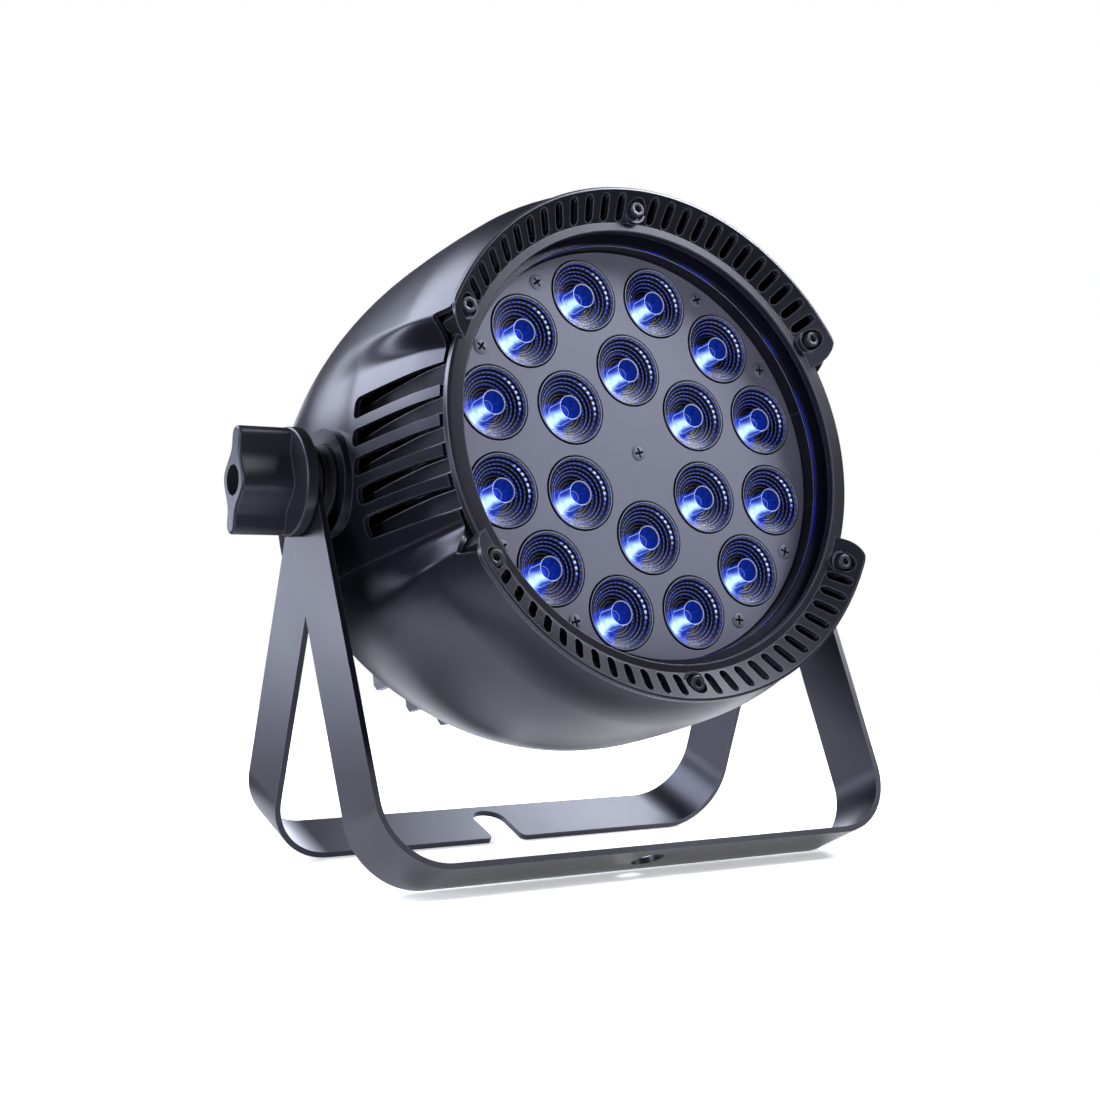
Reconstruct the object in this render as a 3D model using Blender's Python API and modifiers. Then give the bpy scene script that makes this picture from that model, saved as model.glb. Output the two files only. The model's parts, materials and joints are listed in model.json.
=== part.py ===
"""LED par can light on a double yoke, as an assembly of separate solids.

Lengths are metres, +Z is up and the lamp faces -Y. The floor is z = 0.
The head is modelled in lamp axes (x, up, forward), with the origin on the tilt
axis, and is turned into place by the empty "head_axis". A depth is measured
backwards from the front face of the lens plate.
"""
import math

import bmesh
import bpy
from mathutils import Matrix, Vector

MM = 0.001
OBJECT_NAME = "par_can_light"
GAP = 0.35 * MM

# Placement
TILT = math.radians(11.83)
PIVOT_BEHIND_PLATE = 68 * MM
PIVOT_Y = -1.78 * MM

# Yokes: one flat bar each, bent to a U, both hung on the tilt axis
FRONT_BAR_WIDTH = 31 * MM
REAR_BAR_WIDTH = 33 * MM
BAR_THICK = 2.8 * MM
BEND_RADIUS = 31 * MM
FRONT_HALF_SPAN = 134.9 * MM
REAR_HALF_SPAN = 129.1 * MM
FRONT_DROP = 181 * MM
REAR_DROP = 177.2 * MM
FRONT_LEAN = math.radians(23.8)
CLAMP_HOLE_R = 7.6 * MM
NOTCH_HALF_WIDTH = 8.6 * MM
NOTCH_CENTRE = 3.2 * MM
NOTCH_CORNER = 3 * MM

# Tilt studs, washers and knobs
STUD_R = 5 * MM
STUD_FLANGE_R = 13 * MM
STUD_FLANGE_START = 113.2 * MM
STUD_FLANGE_THICK = 4 * MM
STUD_END = 155 * MM
STUD_HOLE_R = 5.5 * MM
BOSS_R = 24 * MM
BOSS_FACE = 123.6 * MM
INNER_WASHER_R = 17 * MM
OUTER_WASHER_R = 15 * MM
KNOB_FOOT_R = 24 * MM
KNOB_FOOT = 5.6 * MM
KNOB_START = FRONT_HALF_SPAN + 0.5 * MM
KNOB_END = 165 * MM
KNOB_HALF_SPAN = 23.5 * MM
KNOB_HUB = 10.8 * MM
KNOB_ARM = 4.2 * MM
KNOB_HOLE_R = 6.8 * MM
KNOB_TURNS = {"left": math.radians(9), "right": math.radians(-14)}

# Optics: an outer ring of twelve lenses and an inner ring of six
LENS_RINGS = ((12, 75 * MM, 15), (6, 38.7 * MM, 30))
LENS_R = 16.5 * MM
LENS_HOLE_R = 17.3 * MM
LENS_DEPTH = 14 * MM
PLATE_R = 94.6 * MM
PLATE_THICK = 2.4 * MM
PLATE_SCREW_HOLE_R = 2.2 * MM
LENS_WELL_R = 5.5 * MM
LENS_WELL = 8 * MM
BOARD_R = 92 * MM
BOARD_FRONT = 16.2 * MM
BOARD_THICK = 1.6 * MM
LED_SIDE = 7 * MM
LED_HEIGHT = 1.4 * MM

# Front bezel, glass and seal, as distances forward of the plate
BEZEL_FRONT = 17 * MM
BEZEL_BACK = 13.4 * MM
BEZEL_IN_R = 98.2 * MM
BEZEL_RIM_R = 106 * MM
FLANGE_R = 115.6 * MM
FLANGE_FRONT = 26 * MM
FLANGE_WALL = 2.6 * MM
FLANGE_END_ANGLE = 29.3
FLANGE_END_R = 105.2 * MM
GLASS_R = 100.6 * MM
GLASS_BACK = 10 * MM
GLASS_THICK = 3 * MM
GASKET_IN_R = 95 * MM
SEAT = 6.7 * MM
VENT_COUNT = 12
VENT_HALF_WIDTH = 2.15 * MM
VENT_IN_R = 102.6 * MM
VENT_OUT_R = 113 * MM
BOLT_RING_R = 107.2 * MM
BOLT_ANGLES = (90, 30, 150, -30, -150, -90)
BOLT_HEAD_R = 3.6 * MM
BOLT_SHANK_R = 1.9 * MM
BOLT_HOLE_R = 2.3 * MM
BOLT_POST_R = 5.6 * MM
BOLT_POST_FRONT = 19.6 * MM
LUG_R = 5.4 * MM
LUG_BACK = 8 * MM
SEAT_RIM_R = 101.1 * MM
SEAT_RIM_OUT_R = 102.4 * MM
SEAT_RIM_FRONT = 12.9 * MM
COUNTERBORE_R = 4.7 * MM
COUNTERBORE_FLOOR = 18 * MM

# Shell: a barrel, with a recess on each side where the cooling fins show
SHELL_WALL = 2.4 * MM
SHELL_MIN_R = 106.8 * MM
NECK_START = 4 * MM
NECK_FALL = 4.2 * MM
RECESS = 3.6 * MM
SHOULDER_START = 46 * MM
SHOULDER_FALL = 8.1 * MM
SHELL_MAX_R = 124 * MM
SHELL_WIDEST = 60 * MM
SHELL_FRONT = -23 * MM
SHELL_SIDE_FRONT = -11.5 * MM
SHELL_WING_FRONT = -12.9 * MM
UPPER_BACK = 150 * MM
LOWER_BACK = 113 * MM
SEAM_ANGLE = 19.5
SIDE_VENT_BACK = 43 * MM
SIDE_VENTS = ((0, 4.0 * MM), (12.8 * MM, 4.0 * MM), (26.6 * MM, 5.0 * MM))

# Core housing, heat sink and the electronics behind them
DRUM_IN_R = 95 * MM
DRUM_OUT_R = 98.6 * MM
DRUM_BACK = 30 * MM
SIDE_FIN_R = 106.4 * MM
SIDE_FIN_FRONT = 12.4 * MM
SIDE_FIN_BACK = 60 * MM
SINK_FRONT = 18.2 * MM
SINK_BASE_BACK = 36 * MM
SINK_FIN_R = 106 * MM
SINK_FIN_BACK = 146 * MM
SINK_FIN_TOP = -43 * MM
SINK_FIN_STEP = 62 * MM
SINK_FIN_THICK = 3 * MM
SINK_FIN_PITCH = 16.5 * MM
SINK_FIN_COUNT = 9
TUB_R = 105.6 * MM
TUB_WALL = 2.4 * MM
TUB_FRONT = 66 * MM
TUB_BACK = 152 * MM
TUB_FLOOR = -39 * MM

# Rear panel, seen from behind
SOCKET_HOLE_R = 12.2 * MM
SOCKET_X = (-57 * MM, -19 * MM, 19 * MM, 57 * MM)
SOCKET_UP = -8 * MM
SOCKET_PLATE = (26 * MM, 31 * MM, 2 * MM)
SOCKET_BODY_R = 11.8 * MM
SOCKET_BODY = 26 * MM
SOCKET_COLLAR_R = 11.4 * MM
SOCKET_COLLAR = 2.4 * MM
SOCKET_CAVITY_R = 9.6 * MM
SOCKET_CAVITY = 13 * MM
SOCKET_PIN_R = 1.7 * MM
PANEL_UP = 43 * MM
PANEL_SIZE = (96 * MM, 34 * MM, 2.4 * MM)
DISPLAY_X = -22 * MM
DISPLAY_SIZE = (42 * MM, 17 * MM, 1.6 * MM)
BUTTON_NAMES = ("button_menu", "button_up", "button_down", "button_enter")
BUTTON_COLUMNS = (14 * MM, 32 * MM)
BUTTON_ROWS = (7.5 * MM, -7.5 * MM)
BUTTON_R = 4 * MM
BUTTON_HOLE_R = 4.4 * MM
BUTTON_LIP = 1.2 * MM
BUTTON_TOP = -TUB_BACK - GAP - PANEL_SIZE[2] - 1.8 * MM
LOOP_UP = 86 * MM
LOOP_HALF = 12 * MM
LOOP_BEND = 8 * MM
LOOP_REACH = 17 * MM
LOOP_WIRE_R = 2.5 * MM
LOOP_HOLE_R = 2.9 * MM
SUPPLY_DEPTH = 92 * MM
SUPPLY_UP = 8 * MM

COLOURS = {
    "black_paint": ((0.022, 0.022, 0.028, 1), 0.42, 0.3),
    "black_plastic": ((0.02, 0.02, 0.024, 1), 0.5, 0),
    "bright_steel": ((0.55, 0.55, 0.57, 1), 0.3, 1),
    "dark_steel": ((0.12, 0.12, 0.13, 1), 0.35, 1),
    "raw_aluminium": ((0.6, 0.6, 0.62, 1), 0.4, 1),
    "plate_grey": ((0.17, 0.17, 0.19, 1), 0.45, 0.2),
    "clear_glass": ((0.85, 0.9, 1, 0.25), 0.05, 0),
    "lens_blue": ((0.1, 0.2, 0.9, 0.6), 0.1, 0),
    "board_white": ((0.8, 0.8, 0.78, 1), 0.5, 0),
    "board_green": ((0.02, 0.2, 0.08, 1), 0.5, 0),
    "black_rubber": ((0.015, 0.015, 0.015, 1), 0.8, 0),
    "socket_blue": ((0.02, 0.1, 0.45, 1), 0.5, 0),
    "socket_grey": ((0.45, 0.45, 0.47, 1), 0.5, 0),
    "display_glass": ((0.01, 0.02, 0.03, 1), 0.1, 0),
}


# ---------------------------------------------------------------- scene helpers

def clear_scene():
    for obj in list(bpy.data.objects):
        bpy.data.objects.remove(obj, do_unlink=True)


def make_collection(name):
    collection = bpy.data.collections.new(name)
    bpy.context.scene.collection.children.link(collection)
    return collection


def material(name):
    found = bpy.data.materials.get(name)
    if found:
        return found
    colour, roughness, metallic = COLOURS[name]
    made = bpy.data.materials.new(name)
    made.use_nodes = True
    shader = made.node_tree.nodes["Principled BSDF"]
    shader.inputs["Base Color"].default_value = colour
    shader.inputs["Alpha"].default_value = colour[3]
    shader.inputs["Roughness"].default_value = roughness
    shader.inputs["Metallic"].default_value = metallic
    made.diffuse_color = colour
    return made


def add_object(name, mesh, material_name, parent=None, smooth=True):
    """Put a mesh in the parts collection, under its body's empty."""
    obj = bpy.data.objects.new(name, mesh)
    PARTS.objects.link(obj)
    mesh.materials.clear()
    mesh.materials.append(material(material_name))
    for face in mesh.polygons:
        face.use_smooth = smooth
    if smooth:
        mesh.set_sharp_from_angle(angle=math.radians(35))
    obj.parent = parent
    return obj


def add_empty(name, location, rotation_x=0.0, parent=None):
    empty = bpy.data.objects.new(name, None)
    PARTS.objects.link(empty)
    empty.location = location
    empty.rotation_euler = (rotation_x, 0, 0)
    empty.parent = parent
    return empty


def mesh_from(bm, name):
    bmesh.ops.recalc_face_normals(bm, faces=bm.faces)
    mesh = bpy.data.meshes.new(name)
    bm.to_mesh(mesh)
    bm.free()
    return mesh


def evaluated_mesh(obj):
    """The object's mesh with its modifiers applied; the object is removed."""
    depsgraph = bpy.context.evaluated_depsgraph_get()
    mesh = bpy.data.meshes.new_from_object(obj.evaluated_get(depsgraph))
    bpy.data.objects.remove(obj, do_unlink=True)
    return mesh


# ---------------------------------------------------------------- shape helpers

def box_mesh(centre, size):
    bm = bmesh.new()
    bmesh.ops.create_cube(bm, size=1)
    bmesh.ops.scale(bm, vec=size, verts=bm.verts)
    bmesh.ops.translate(bm, vec=centre, verts=bm.verts)
    return mesh_from(bm, "box")


def rod_mesh(start, end, radius, segments=24, turn=0.0):
    """A cylinder from start to end."""
    start = Vector(start)
    axis = Vector(end) - start
    place = Matrix.Translation(start + axis / 2) @ axis.to_track_quat("Z", "Y").to_matrix().to_4x4()
    bm = bmesh.new()
    bmesh.ops.create_cone(bm, cap_ends=True, segments=segments, radius1=radius, radius2=radius,
                          depth=axis.length, matrix=place @ Matrix.Rotation(turn, 4, "Z"))
    return mesh_from(bm, "rod")


def turned_mesh(profile, segments):
    """A closed profile of (radius, height) points, turned about Z by a Screw modifier."""
    mesh = bpy.data.meshes.new("profile")
    points = [(radius, 0, height) for radius, height in profile]
    on_axis = profile[0][0] == 0 and profile[-1][0] == 0
    edges = [(i, i + 1) for i in range(len(points) - 1)]
    if not on_axis:
        edges.append((len(points) - 1, 0))
    mesh.from_pydata(points, edges, [])
    obj = bpy.data.objects.new("profile", mesh)
    CUTTERS.objects.link(obj)
    screw = obj.modifiers.new("turn", "SCREW")
    screw.steps = segments
    screw.render_steps = segments
    screw.use_merge_vertices = True
    screw.merge_threshold = 0.00001
    turned = evaluated_mesh(obj)
    bm = bmesh.new()
    bm.from_mesh(turned)
    bmesh.ops.remove_doubles(bm, verts=bm.verts, dist=0.000001)
    return mesh_from(bm, "turned")


def prism_mesh(outline, start, end, matrix=None):
    """A flat outline of (x, y) points, as a filled 2D curve extruded from z start to z end."""
    curve = bpy.data.curves.new("outline", "CURVE")
    curve.dimensions = "2D"
    curve.fill_mode = "BOTH"
    curve.extrude = (end - start) / 2
    spline = curve.splines.new("POLY")
    spline.points.add(len(outline) - 1)
    for point, (x, y) in zip(spline.points, outline):
        point.co = (x, y, 0, 1)
    spline.use_cyclic_u = True
    obj = bpy.data.objects.new("outline", curve)
    CUTTERS.objects.link(obj)
    mesh = evaluated_mesh(obj)
    bm = bmesh.new()
    bm.from_mesh(mesh)
    bmesh.ops.remove_doubles(bm, verts=bm.verts, dist=0.000001)
    bmesh.ops.translate(bm, vec=(0, 0, (start + end) / 2), verts=bm.verts)
    if matrix:
        bmesh.ops.transform(bm, matrix=matrix, verts=bm.verts)
    return mesh_from(bm, "prism")


def joined(meshes):
    """Several closed meshes in one, for a cutter of many separate bodies."""
    bm = bmesh.new()
    for mesh in meshes:
        bm.from_mesh(mesh)
    return mesh_from(bm, "group")


def combine(mesh, operation, others):
    """Apply exact Boolean modifiers: one for each mesh of others."""
    obj = bpy.data.objects.new("base", mesh)
    CUTTERS.objects.link(obj)
    tools = []
    for other in others:
        tool = bpy.data.objects.new("cutter", other)
        tool.hide_render = True
        tool.display_type = "WIRE"
        CUTTERS.objects.link(tool)
        tools.append(tool)
        modifier = obj.modifiers.new("boolean", "BOOLEAN")
        modifier.operation = operation
        modifier.solver = "EXACT"
        modifier.object = tool
    result = evaluated_mesh(obj)
    for tool in tools:
        bpy.data.objects.remove(tool, do_unlink=True)
    bm = bmesh.new()
    bm.from_mesh(result)
    bmesh.ops.remove_doubles(bm, verts=bm.verts, dist=0.000002)
    bmesh.ops.dissolve_degenerate(bm, dist=0.000002, edges=bm.edges)
    return mesh_from(bm, "combined")


def cut(mesh, *cutters):
    return combine(mesh, "DIFFERENCE", cutters)


def unite(mesh, *others):
    return combine(mesh, "UNION", others)


def arc(centre, radius, start, end, steps):
    """Points of an arc in a plane, angles in degrees."""
    points = []
    for step in range(steps + 1):
        angle = math.radians(start + (end - start) * step / steps)
        points.append((centre[0] + radius * math.cos(angle), centre[1] + radius * math.sin(angle)))
    return points


def smoothstep(low, high, value):
    t = min(max((value - low) / (high - low), 0), 1)
    return t * t * (3 - 2 * t)


def at_angle(radius, degrees, height):
    angle = math.radians(degrees)
    return Vector((radius * math.cos(angle), radius * math.sin(angle), height))


def slide_along(mesh, offset):
    mesh.transform(Matrix.Translation(offset))
    return mesh


# ---------------------------------------------------------------- yokes

def bar_sweep(half_span, drop):
    """The centre line of a bent bar in the XZ plane, from leg to leg."""
    out = half_span - BAR_THICK / 2
    low = -drop + BAR_THICK / 2
    bend = BEND_RADIUS - BAR_THICK / 2
    left = arc((-out + bend, low + bend), bend, 180, 270, 8)
    right = arc((out - bend, low + bend), bend, 270, 360, 8)
    return [(-out, 0)] + left + right + [(out, 0)]


def yoke_mesh(half_span, drop, width):
    """A bent flat bar with round leg ends and a stud hole in each leg."""
    path = bar_sweep(half_span, drop)
    bm = bmesh.new()
    rows = [[bm.verts.new((x, side * width / 2, z)) for x, z in path] for side in (-1, 1)]
    for index in range(len(path) - 1):
        bm.faces.new((rows[0][index], rows[0][index + 1], rows[1][index + 1], rows[1][index]))
    obj = bpy.data.objects.new("bar", mesh_from(bm, "bar"))
    CUTTERS.objects.link(obj)
    solidify = obj.modifiers.new("thickness", "SOLIDIFY")
    solidify.thickness = BAR_THICK
    solidify.offset = 0
    solidify.use_even_offset = True
    mesh = evaluated_mesh(obj)
    ends = []
    holes = []
    for side in (-1, 1):
        outer = side * half_span
        inner = side * (half_span - BAR_THICK)
        ends.append(rod_mesh((inner, 0, 0), (outer, 0, 0), width / 2, 32))
        holes.append(rod_mesh((side * (half_span - 9 * MM), 0, 0),
                              (side * (half_span + 6 * MM), 0, 0), STUD_HOLE_R, 24))
    return cut(unite(mesh, *ends), *holes)


def notch_outline():
    """A U-shaped notch from the bar's edge, with rounded mouth corners."""
    corner = NOTCH_CORNER
    edge = -REAR_BAR_WIDTH / 2
    mouth = NOTCH_HALF_WIDTH + corner
    points = arc((0, NOTCH_CENTRE), NOTCH_HALF_WIDTH, 0, 180, 12)
    points += arc((-mouth, edge + corner), corner, 0, -90, 4)
    points += [(-mouth, edge - corner), (mouth, edge - corner)]
    points += arc((mouth, edge + corner), corner, 270, 180, 4)
    return points


def build_front_bracket(parent):
    mesh = yoke_mesh(FRONT_HALF_SPAN, FRONT_DROP, FRONT_BAR_WIDTH)
    hole = rod_mesh((0, 0, -FRONT_DROP - 5 * MM), (0, 0, -FRONT_DROP + 9 * MM), CLAMP_HOLE_R, 32)
    return add_object("front_bracket", cut(mesh, hole), "black_paint", parent)


def build_rear_bracket(parent):
    mesh = yoke_mesh(REAR_HALF_SPAN, REAR_DROP, REAR_BAR_WIDTH)
    notch = prism_mesh(notch_outline(), -REAR_DROP - 5 * MM, -REAR_DROP + 9 * MM)
    return add_object("rear_bracket", cut(mesh, notch), "black_paint", parent)


def floor_drop(drop, width, lean):
    """How far the lowest edge of a leaning yoke lies below the tilt axis."""
    return drop * math.cos(lean) + width / 2 * math.sin(lean)


def lean_for_floor(drop, width, height):
    """The lean at which a yoke's lowest edge lies at the given depth below the axis."""
    half = width / 2
    return math.atan2(half, drop) + math.acos(height / math.hypot(half, drop))


# ---------------------------------------------------------------- knobs and studs

def knob_outline():
    """A bar with a round hub: half widths follow a cosine bump, ends are rounded."""
    side = []
    steps = 14
    reach = KNOB_HALF_SPAN - KNOB_ARM
    for index in range(steps + 1):
        along = reach * (1 - 2 * index / steps)
        bump = 0.5 + 0.5 * math.cos(math.pi * min(abs(along) / (0.78 * reach), 1))
        side.append((KNOB_ARM + (KNOB_HUB - KNOB_ARM) * bump, along))
    other = [(-half, -along) for half, along in side]
    bottom = arc((0, -reach), KNOB_ARM, 0, -180, 6)[1:-1]
    top = arc((0, reach), KNOB_ARM, 180, 0, 6)[1:-1]
    return side + bottom + other + top


def build_knob(name, side, parent):
    """Foot, wing grip and stud recess; the grip's length runs along X."""
    upright = Matrix(((0, 0, side, 0), (side, 0, 0, 0), (0, 1, 0, 0), (0, 0, 0, 1)))
    grip = prism_mesh(knob_outline(), KNOB_START + KNOB_FOOT - 1 * MM, KNOB_END, upright)
    foot = rod_mesh((side * KNOB_START, 0, 0), (side * (KNOB_START + KNOB_FOOT), 0, 0), KNOB_FOOT_R, 40)
    recess = rod_mesh((side * (KNOB_END - 9 * MM), 0, 0), (side * (KNOB_END + 5 * MM), 0, 0), KNOB_HOLE_R, 24)
    thread = rod_mesh((side * (KNOB_START - 5 * MM), 0, 0), (side * (KNOB_END - 5 * MM), 0, 0),
                      STUD_HOLE_R, 24)
    return add_object(name, cut(unite(foot, grip), recess, thread), "black_plastic", parent)


def build_stud(name, side, parent):
    """Threaded stud with a flange that bears on the inside of the shell."""
    shoulder = STUD_FLANGE_START + STUD_FLANGE_THICK
    profile = [(0, STUD_END), (STUD_R, STUD_END), (STUD_R, shoulder), (STUD_FLANGE_R, shoulder),
               (STUD_FLANGE_R, STUD_FLANGE_START), (0, STUD_FLANGE_START)]
    mesh = turned_mesh(profile, 24)
    mesh.transform(Matrix.Rotation(side * math.pi / 2, 4, "Y"))
    return add_object(name, mesh, "bright_steel", parent)


def build_washer(name, start, end, side, radius, parent):
    profile = [(radius, end), (radius, start), (STUD_HOLE_R, start), (STUD_HOLE_R, end)]
    mesh = turned_mesh(profile, 24)
    mesh.transform(Matrix.Rotation(side * math.pi / 2, 4, "Y"))
    return add_object(name, mesh, "black_rubber", parent)


# ---------------------------------------------------------------- optics

def lens_places():
    for count, ring, first in LENS_RINGS:
        for index in range(count):
            yield at_angle(ring, first + 360 * index / count, 0)


def build_lens_plate(parent):
    mesh = rod_mesh((0, 0, -PLATE_THICK), (0, 0, 0), PLATE_R, 64)
    holes = [rod_mesh(place + Vector((0, 0, -9 * MM)), place + Vector((0, 0, 5 * MM)), LENS_HOLE_R, 14)
             for place in lens_places()]
    screw_hole = rod_mesh((0, 0, -9 * MM), (0, 0, 5 * MM), PLATE_SCREW_HOLE_R, 16)
    return add_object("lens_plate", cut(mesh, joined(holes), screw_hole), "plate_grey", parent)


def build_lenses(parent):
    """Collimator lenses: a rim level with the plate, a cone, and a hollow face."""
    profile = [(0, -LENS_WELL), (LENS_WELL_R, -LENS_WELL), (LENS_WELL_R, -2 * MM),
               (LENS_R, 0.3 * MM), (LENS_R, -2 * MM), (5.6 * MM, -LENS_DEPTH), (0, -LENS_DEPTH)]
    for number, place in enumerate(lens_places(), 1):
        mesh = slide_along(turned_mesh(profile, 14), place)
        add_object(f"lens_{number:02d}", mesh, "lens_blue", parent)


def build_led_board(parent):
    """The circuit board with a raised emitter under each lens."""
    mesh = rod_mesh((0, 0, -BOARD_FRONT - BOARD_THICK), (0, 0, -BOARD_FRONT), BOARD_R, 64)
    top = -BOARD_FRONT + LED_HEIGHT
    chips = [box_mesh(place + Vector((0, 0, top - LED_HEIGHT)), (LED_SIDE, LED_SIDE, 2 * LED_HEIGHT))
             for place in lens_places()]
    return add_object("led_board", unite(mesh, joined(chips)), "board_white", parent, smooth=False)


def build_plate_screw(parent):
    profile = [(0, 1.6 * MM), (2.4 * MM, 1.4 * MM), (3.4 * MM, 0.4 * MM), (1.8 * MM, 0.4 * MM),
               (1.8 * MM, -15 * MM), (0, -15 * MM)]
    mesh = turned_mesh(profile, 16)
    bars = [box_mesh((0, 0, 1.6 * MM), size) for size in
            ((3.6 * MM, 0.8 * MM, 1.6 * MM), (0.8 * MM, 3.6 * MM, 1.6 * MM))]
    return add_object("centre_screw", cut(mesh, *bars), "dark_steel", parent)


# ---------------------------------------------------------------- bezel, glass and seal

def flange_height(radius):
    """Height of the flange's sloping front face."""
    slope = (FLANGE_FRONT - BEZEL_FRONT) / (114.4 * MM - 102 * MM)
    return BEZEL_FRONT + slope * (radius - 102 * MM)


def vent_cutter(angle):
    """A stadium prism that runs through the flange, its length along the radius."""
    reach = VENT_OUT_R - VENT_HALF_WIDTH
    near = VENT_IN_R + VENT_HALF_WIDTH
    outline = arc((reach, 0), VENT_HALF_WIDTH, -90, 90, 2) + arc((near, 0), VENT_HALF_WIDTH, 90, 270, 2)
    return prism_mesh(outline, 8 * MM, 32 * MM, Matrix.Rotation(math.radians(angle), 4, "Z"))


def vent_angles():
    for first in (30, 90, -90, -150):
        for index in range(1, VENT_COUNT + 1):
            yield first + 60 * index / (VENT_COUNT + 1)


def flange_outline(inset):
    """Plan of one vented flange: a sector whose ends are rounded about the outer bolts."""
    turn = FLANGE_R - FLANGE_END_R - inset
    inward = 12 * MM
    first = FLANGE_END_ANGLE
    last = 180 - FLANGE_END_ANGLE
    right = at_angle(FLANGE_END_R, first, 0)
    left = at_angle(FLANGE_END_R, last, 0)
    right_foot = right + at_angle(turn, first - 90, 0) - at_angle(inward, first, 0)
    left_foot = left + at_angle(turn, last + 90, 0) - at_angle(inward, last, 0)
    outline = arc((0, 0), FLANGE_R - inset, first, last, 32)
    outline += arc(left, turn, last, last + 90, 6)[1:]
    outline += [left_foot[:2]]
    outline += arc((0, 0), FLANGE_END_R - inward, last, first, 16)
    outline += [right_foot[:2]]
    outline += arc(right, turn, first - 90, first, 6)[:-1]
    return outline


def build_bezel(parent):
    rim = [(BEZEL_IN_R, BEZEL_FRONT), (104.3 * MM, BEZEL_FRONT), (105.5 * MM, 16.5 * MM),
           (BEZEL_RIM_R, 15.3 * MM), (BEZEL_RIM_R, BEZEL_BACK), (BEZEL_IN_R, BEZEL_BACK)]
    mesh = turned_mesh(rim, 60)
    foot = BEZEL_BACK + 0.3 * MM
    outer = [(101 * MM, foot), (FLANGE_R, foot), (FLANGE_R, 24.9 * MM),
             (114.9 * MM, 25.8 * MM), (114.2 * MM, flange_height(114.2 * MM)),
             (101 * MM, flange_height(101 * MM))]
    drop = 3 * MM
    pocket = [(103.4 * MM, 5 * MM), (FLANGE_R - FLANGE_WALL, 5 * MM),
              (FLANGE_R - FLANGE_WALL, flange_height(FLANGE_R - FLANGE_WALL) - drop),
              (103.4 * MM, flange_height(103.4 * MM) - drop)]
    shell_room = [(112.1 * MM, 5 * MM), (FLANGE_R + 3 * MM, 5 * MM),
                  (FLANGE_R + 3 * MM, -SHELL_FRONT + 0.4 * MM), (112.1 * MM, -SHELL_FRONT + 0.4 * MM)]
    for turn in (0, math.pi):
        place = Matrix.Rotation(turn, 4, "Z")
        flange = combine(turned_mesh(outer, 60), "INTERSECT",
                         [prism_mesh(flange_outline(0), 0, 40 * MM, place)])
        hollow = combine(turned_mesh(pocket, 60), "INTERSECT",
                         [prism_mesh(flange_outline(FLANGE_WALL), 0, 40 * MM, place)])
        mesh = unite(mesh, cut(flange, hollow, turned_mesh(shell_room, 60)))
    posts = []
    bores = []
    for angle in BOLT_ANGLES:
        foot = at_angle(BOLT_RING_R, angle, BEZEL_BACK)
        posts.append(rod_mesh(foot, at_angle(BOLT_RING_R, angle, BOLT_POST_FRONT), BOLT_POST_R, 14))
        bores.append(rod_mesh(at_angle(BOLT_RING_R, angle, COUNTERBORE_FLOOR),
                              at_angle(BOLT_RING_R, angle, 34 * MM), COUNTERBORE_R, 14))
        bores.append(rod_mesh(at_angle(BOLT_RING_R, angle, 2 * MM),
                              at_angle(BOLT_RING_R, angle, 34 * MM), BOLT_HOLE_R, 8))
    mesh = unite(mesh, joined(posts))
    mesh = cut(mesh, joined([vent_cutter(angle) for angle in vent_angles()]))
    counterbores = joined(bores[0::2])
    clearances = joined(bores[1::2])
    return add_object("front_bezel", cut(mesh, counterbores, clearances), "black_paint", parent)


def build_bezel_bolts(parent):
    floor = COUNTERBORE_FLOOR + GAP
    profile = [(0, floor + 4 * MM), (3.2 * MM, floor + 4 * MM), (BOLT_HEAD_R, floor + 3.6 * MM),
               (BOLT_HEAD_R, floor), (BOLT_SHANK_R, floor), (BOLT_SHANK_R, 3 * MM), (0, 3 * MM)]
    for number, angle in enumerate(BOLT_ANGLES, 1):
        socket = rod_mesh((0, 0, floor + 1.6 * MM), (0, 0, floor + 6 * MM), 1.9 * MM, 6)
        mesh = cut(turned_mesh(profile, 14), socket)
        slide_along(mesh, at_angle(BOLT_RING_R, angle, 0))
        add_object(f"bezel_bolt_{number}", mesh, "dark_steel", parent)


def build_glass(parent):
    mesh = rod_mesh((0, 0, GLASS_BACK), (0, 0, GLASS_BACK + GLASS_THICK), GLASS_R, 64)
    return add_object("front_glass", mesh, "clear_glass", parent)


def build_gasket(parent):
    profile = [(GLASS_R, GLASS_BACK - GAP), (GLASS_R, SEAT + GAP), (GASKET_IN_R, SEAT + GAP),
               (GASKET_IN_R, GLASS_BACK - GAP)]
    return add_object("glass_gasket", turned_mesh(profile, 48), "black_rubber", parent)


# ---------------------------------------------------------------- shell

def barrel_radius(depth, lower):
    """Radius of the shell's barrel; lower runs from 0 at the sides to 1 underneath."""
    fall = 0.72 if depth < SHELL_WIDEST else 1.85 + 1.95 * lower
    neck = max(0, (NECK_START - depth) / (NECK_START - SHELL_FRONT)) ** 1.5 * NECK_FALL
    return SHELL_MAX_R - fall * (depth - SHELL_WIDEST) ** 2 - neck


def recess_depth(depth):
    """How far the side face lies inside the barrel."""
    ahead = max(0, (SHOULDER_START - depth) / (SHOULDER_START - SHELL_SIDE_FRONT))
    shoulder = ahead ** 1.2 * SHOULDER_FALL
    return RECESS * (1 - smoothstep(50 * MM, 95 * MM, depth)) + shoulder


def shell_radius(degrees, depth):
    """Outer radius of the shell; degrees are measured from the lamp's horizontal."""
    below = smoothstep(15, 60, -degrees)
    barrel = barrel_radius(depth, below)
    side = max(barrel - recess_depth(depth), SHELL_MIN_R)
    crease = smoothstep(-10 * MM, 60 * MM, depth)
    blend = smoothstep(20.5, 25.5 + 4 * crease, abs(degrees))
    return side + (barrel - side) * blend


def shell_depths(back):
    steps = [-23, -13, -8, -4, 1, 8, 18, 32, 50, 70, 90, 102, 118, 134]
    return [step * MM for step in steps if step * MM < back - 8 * MM] + [back]


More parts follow.
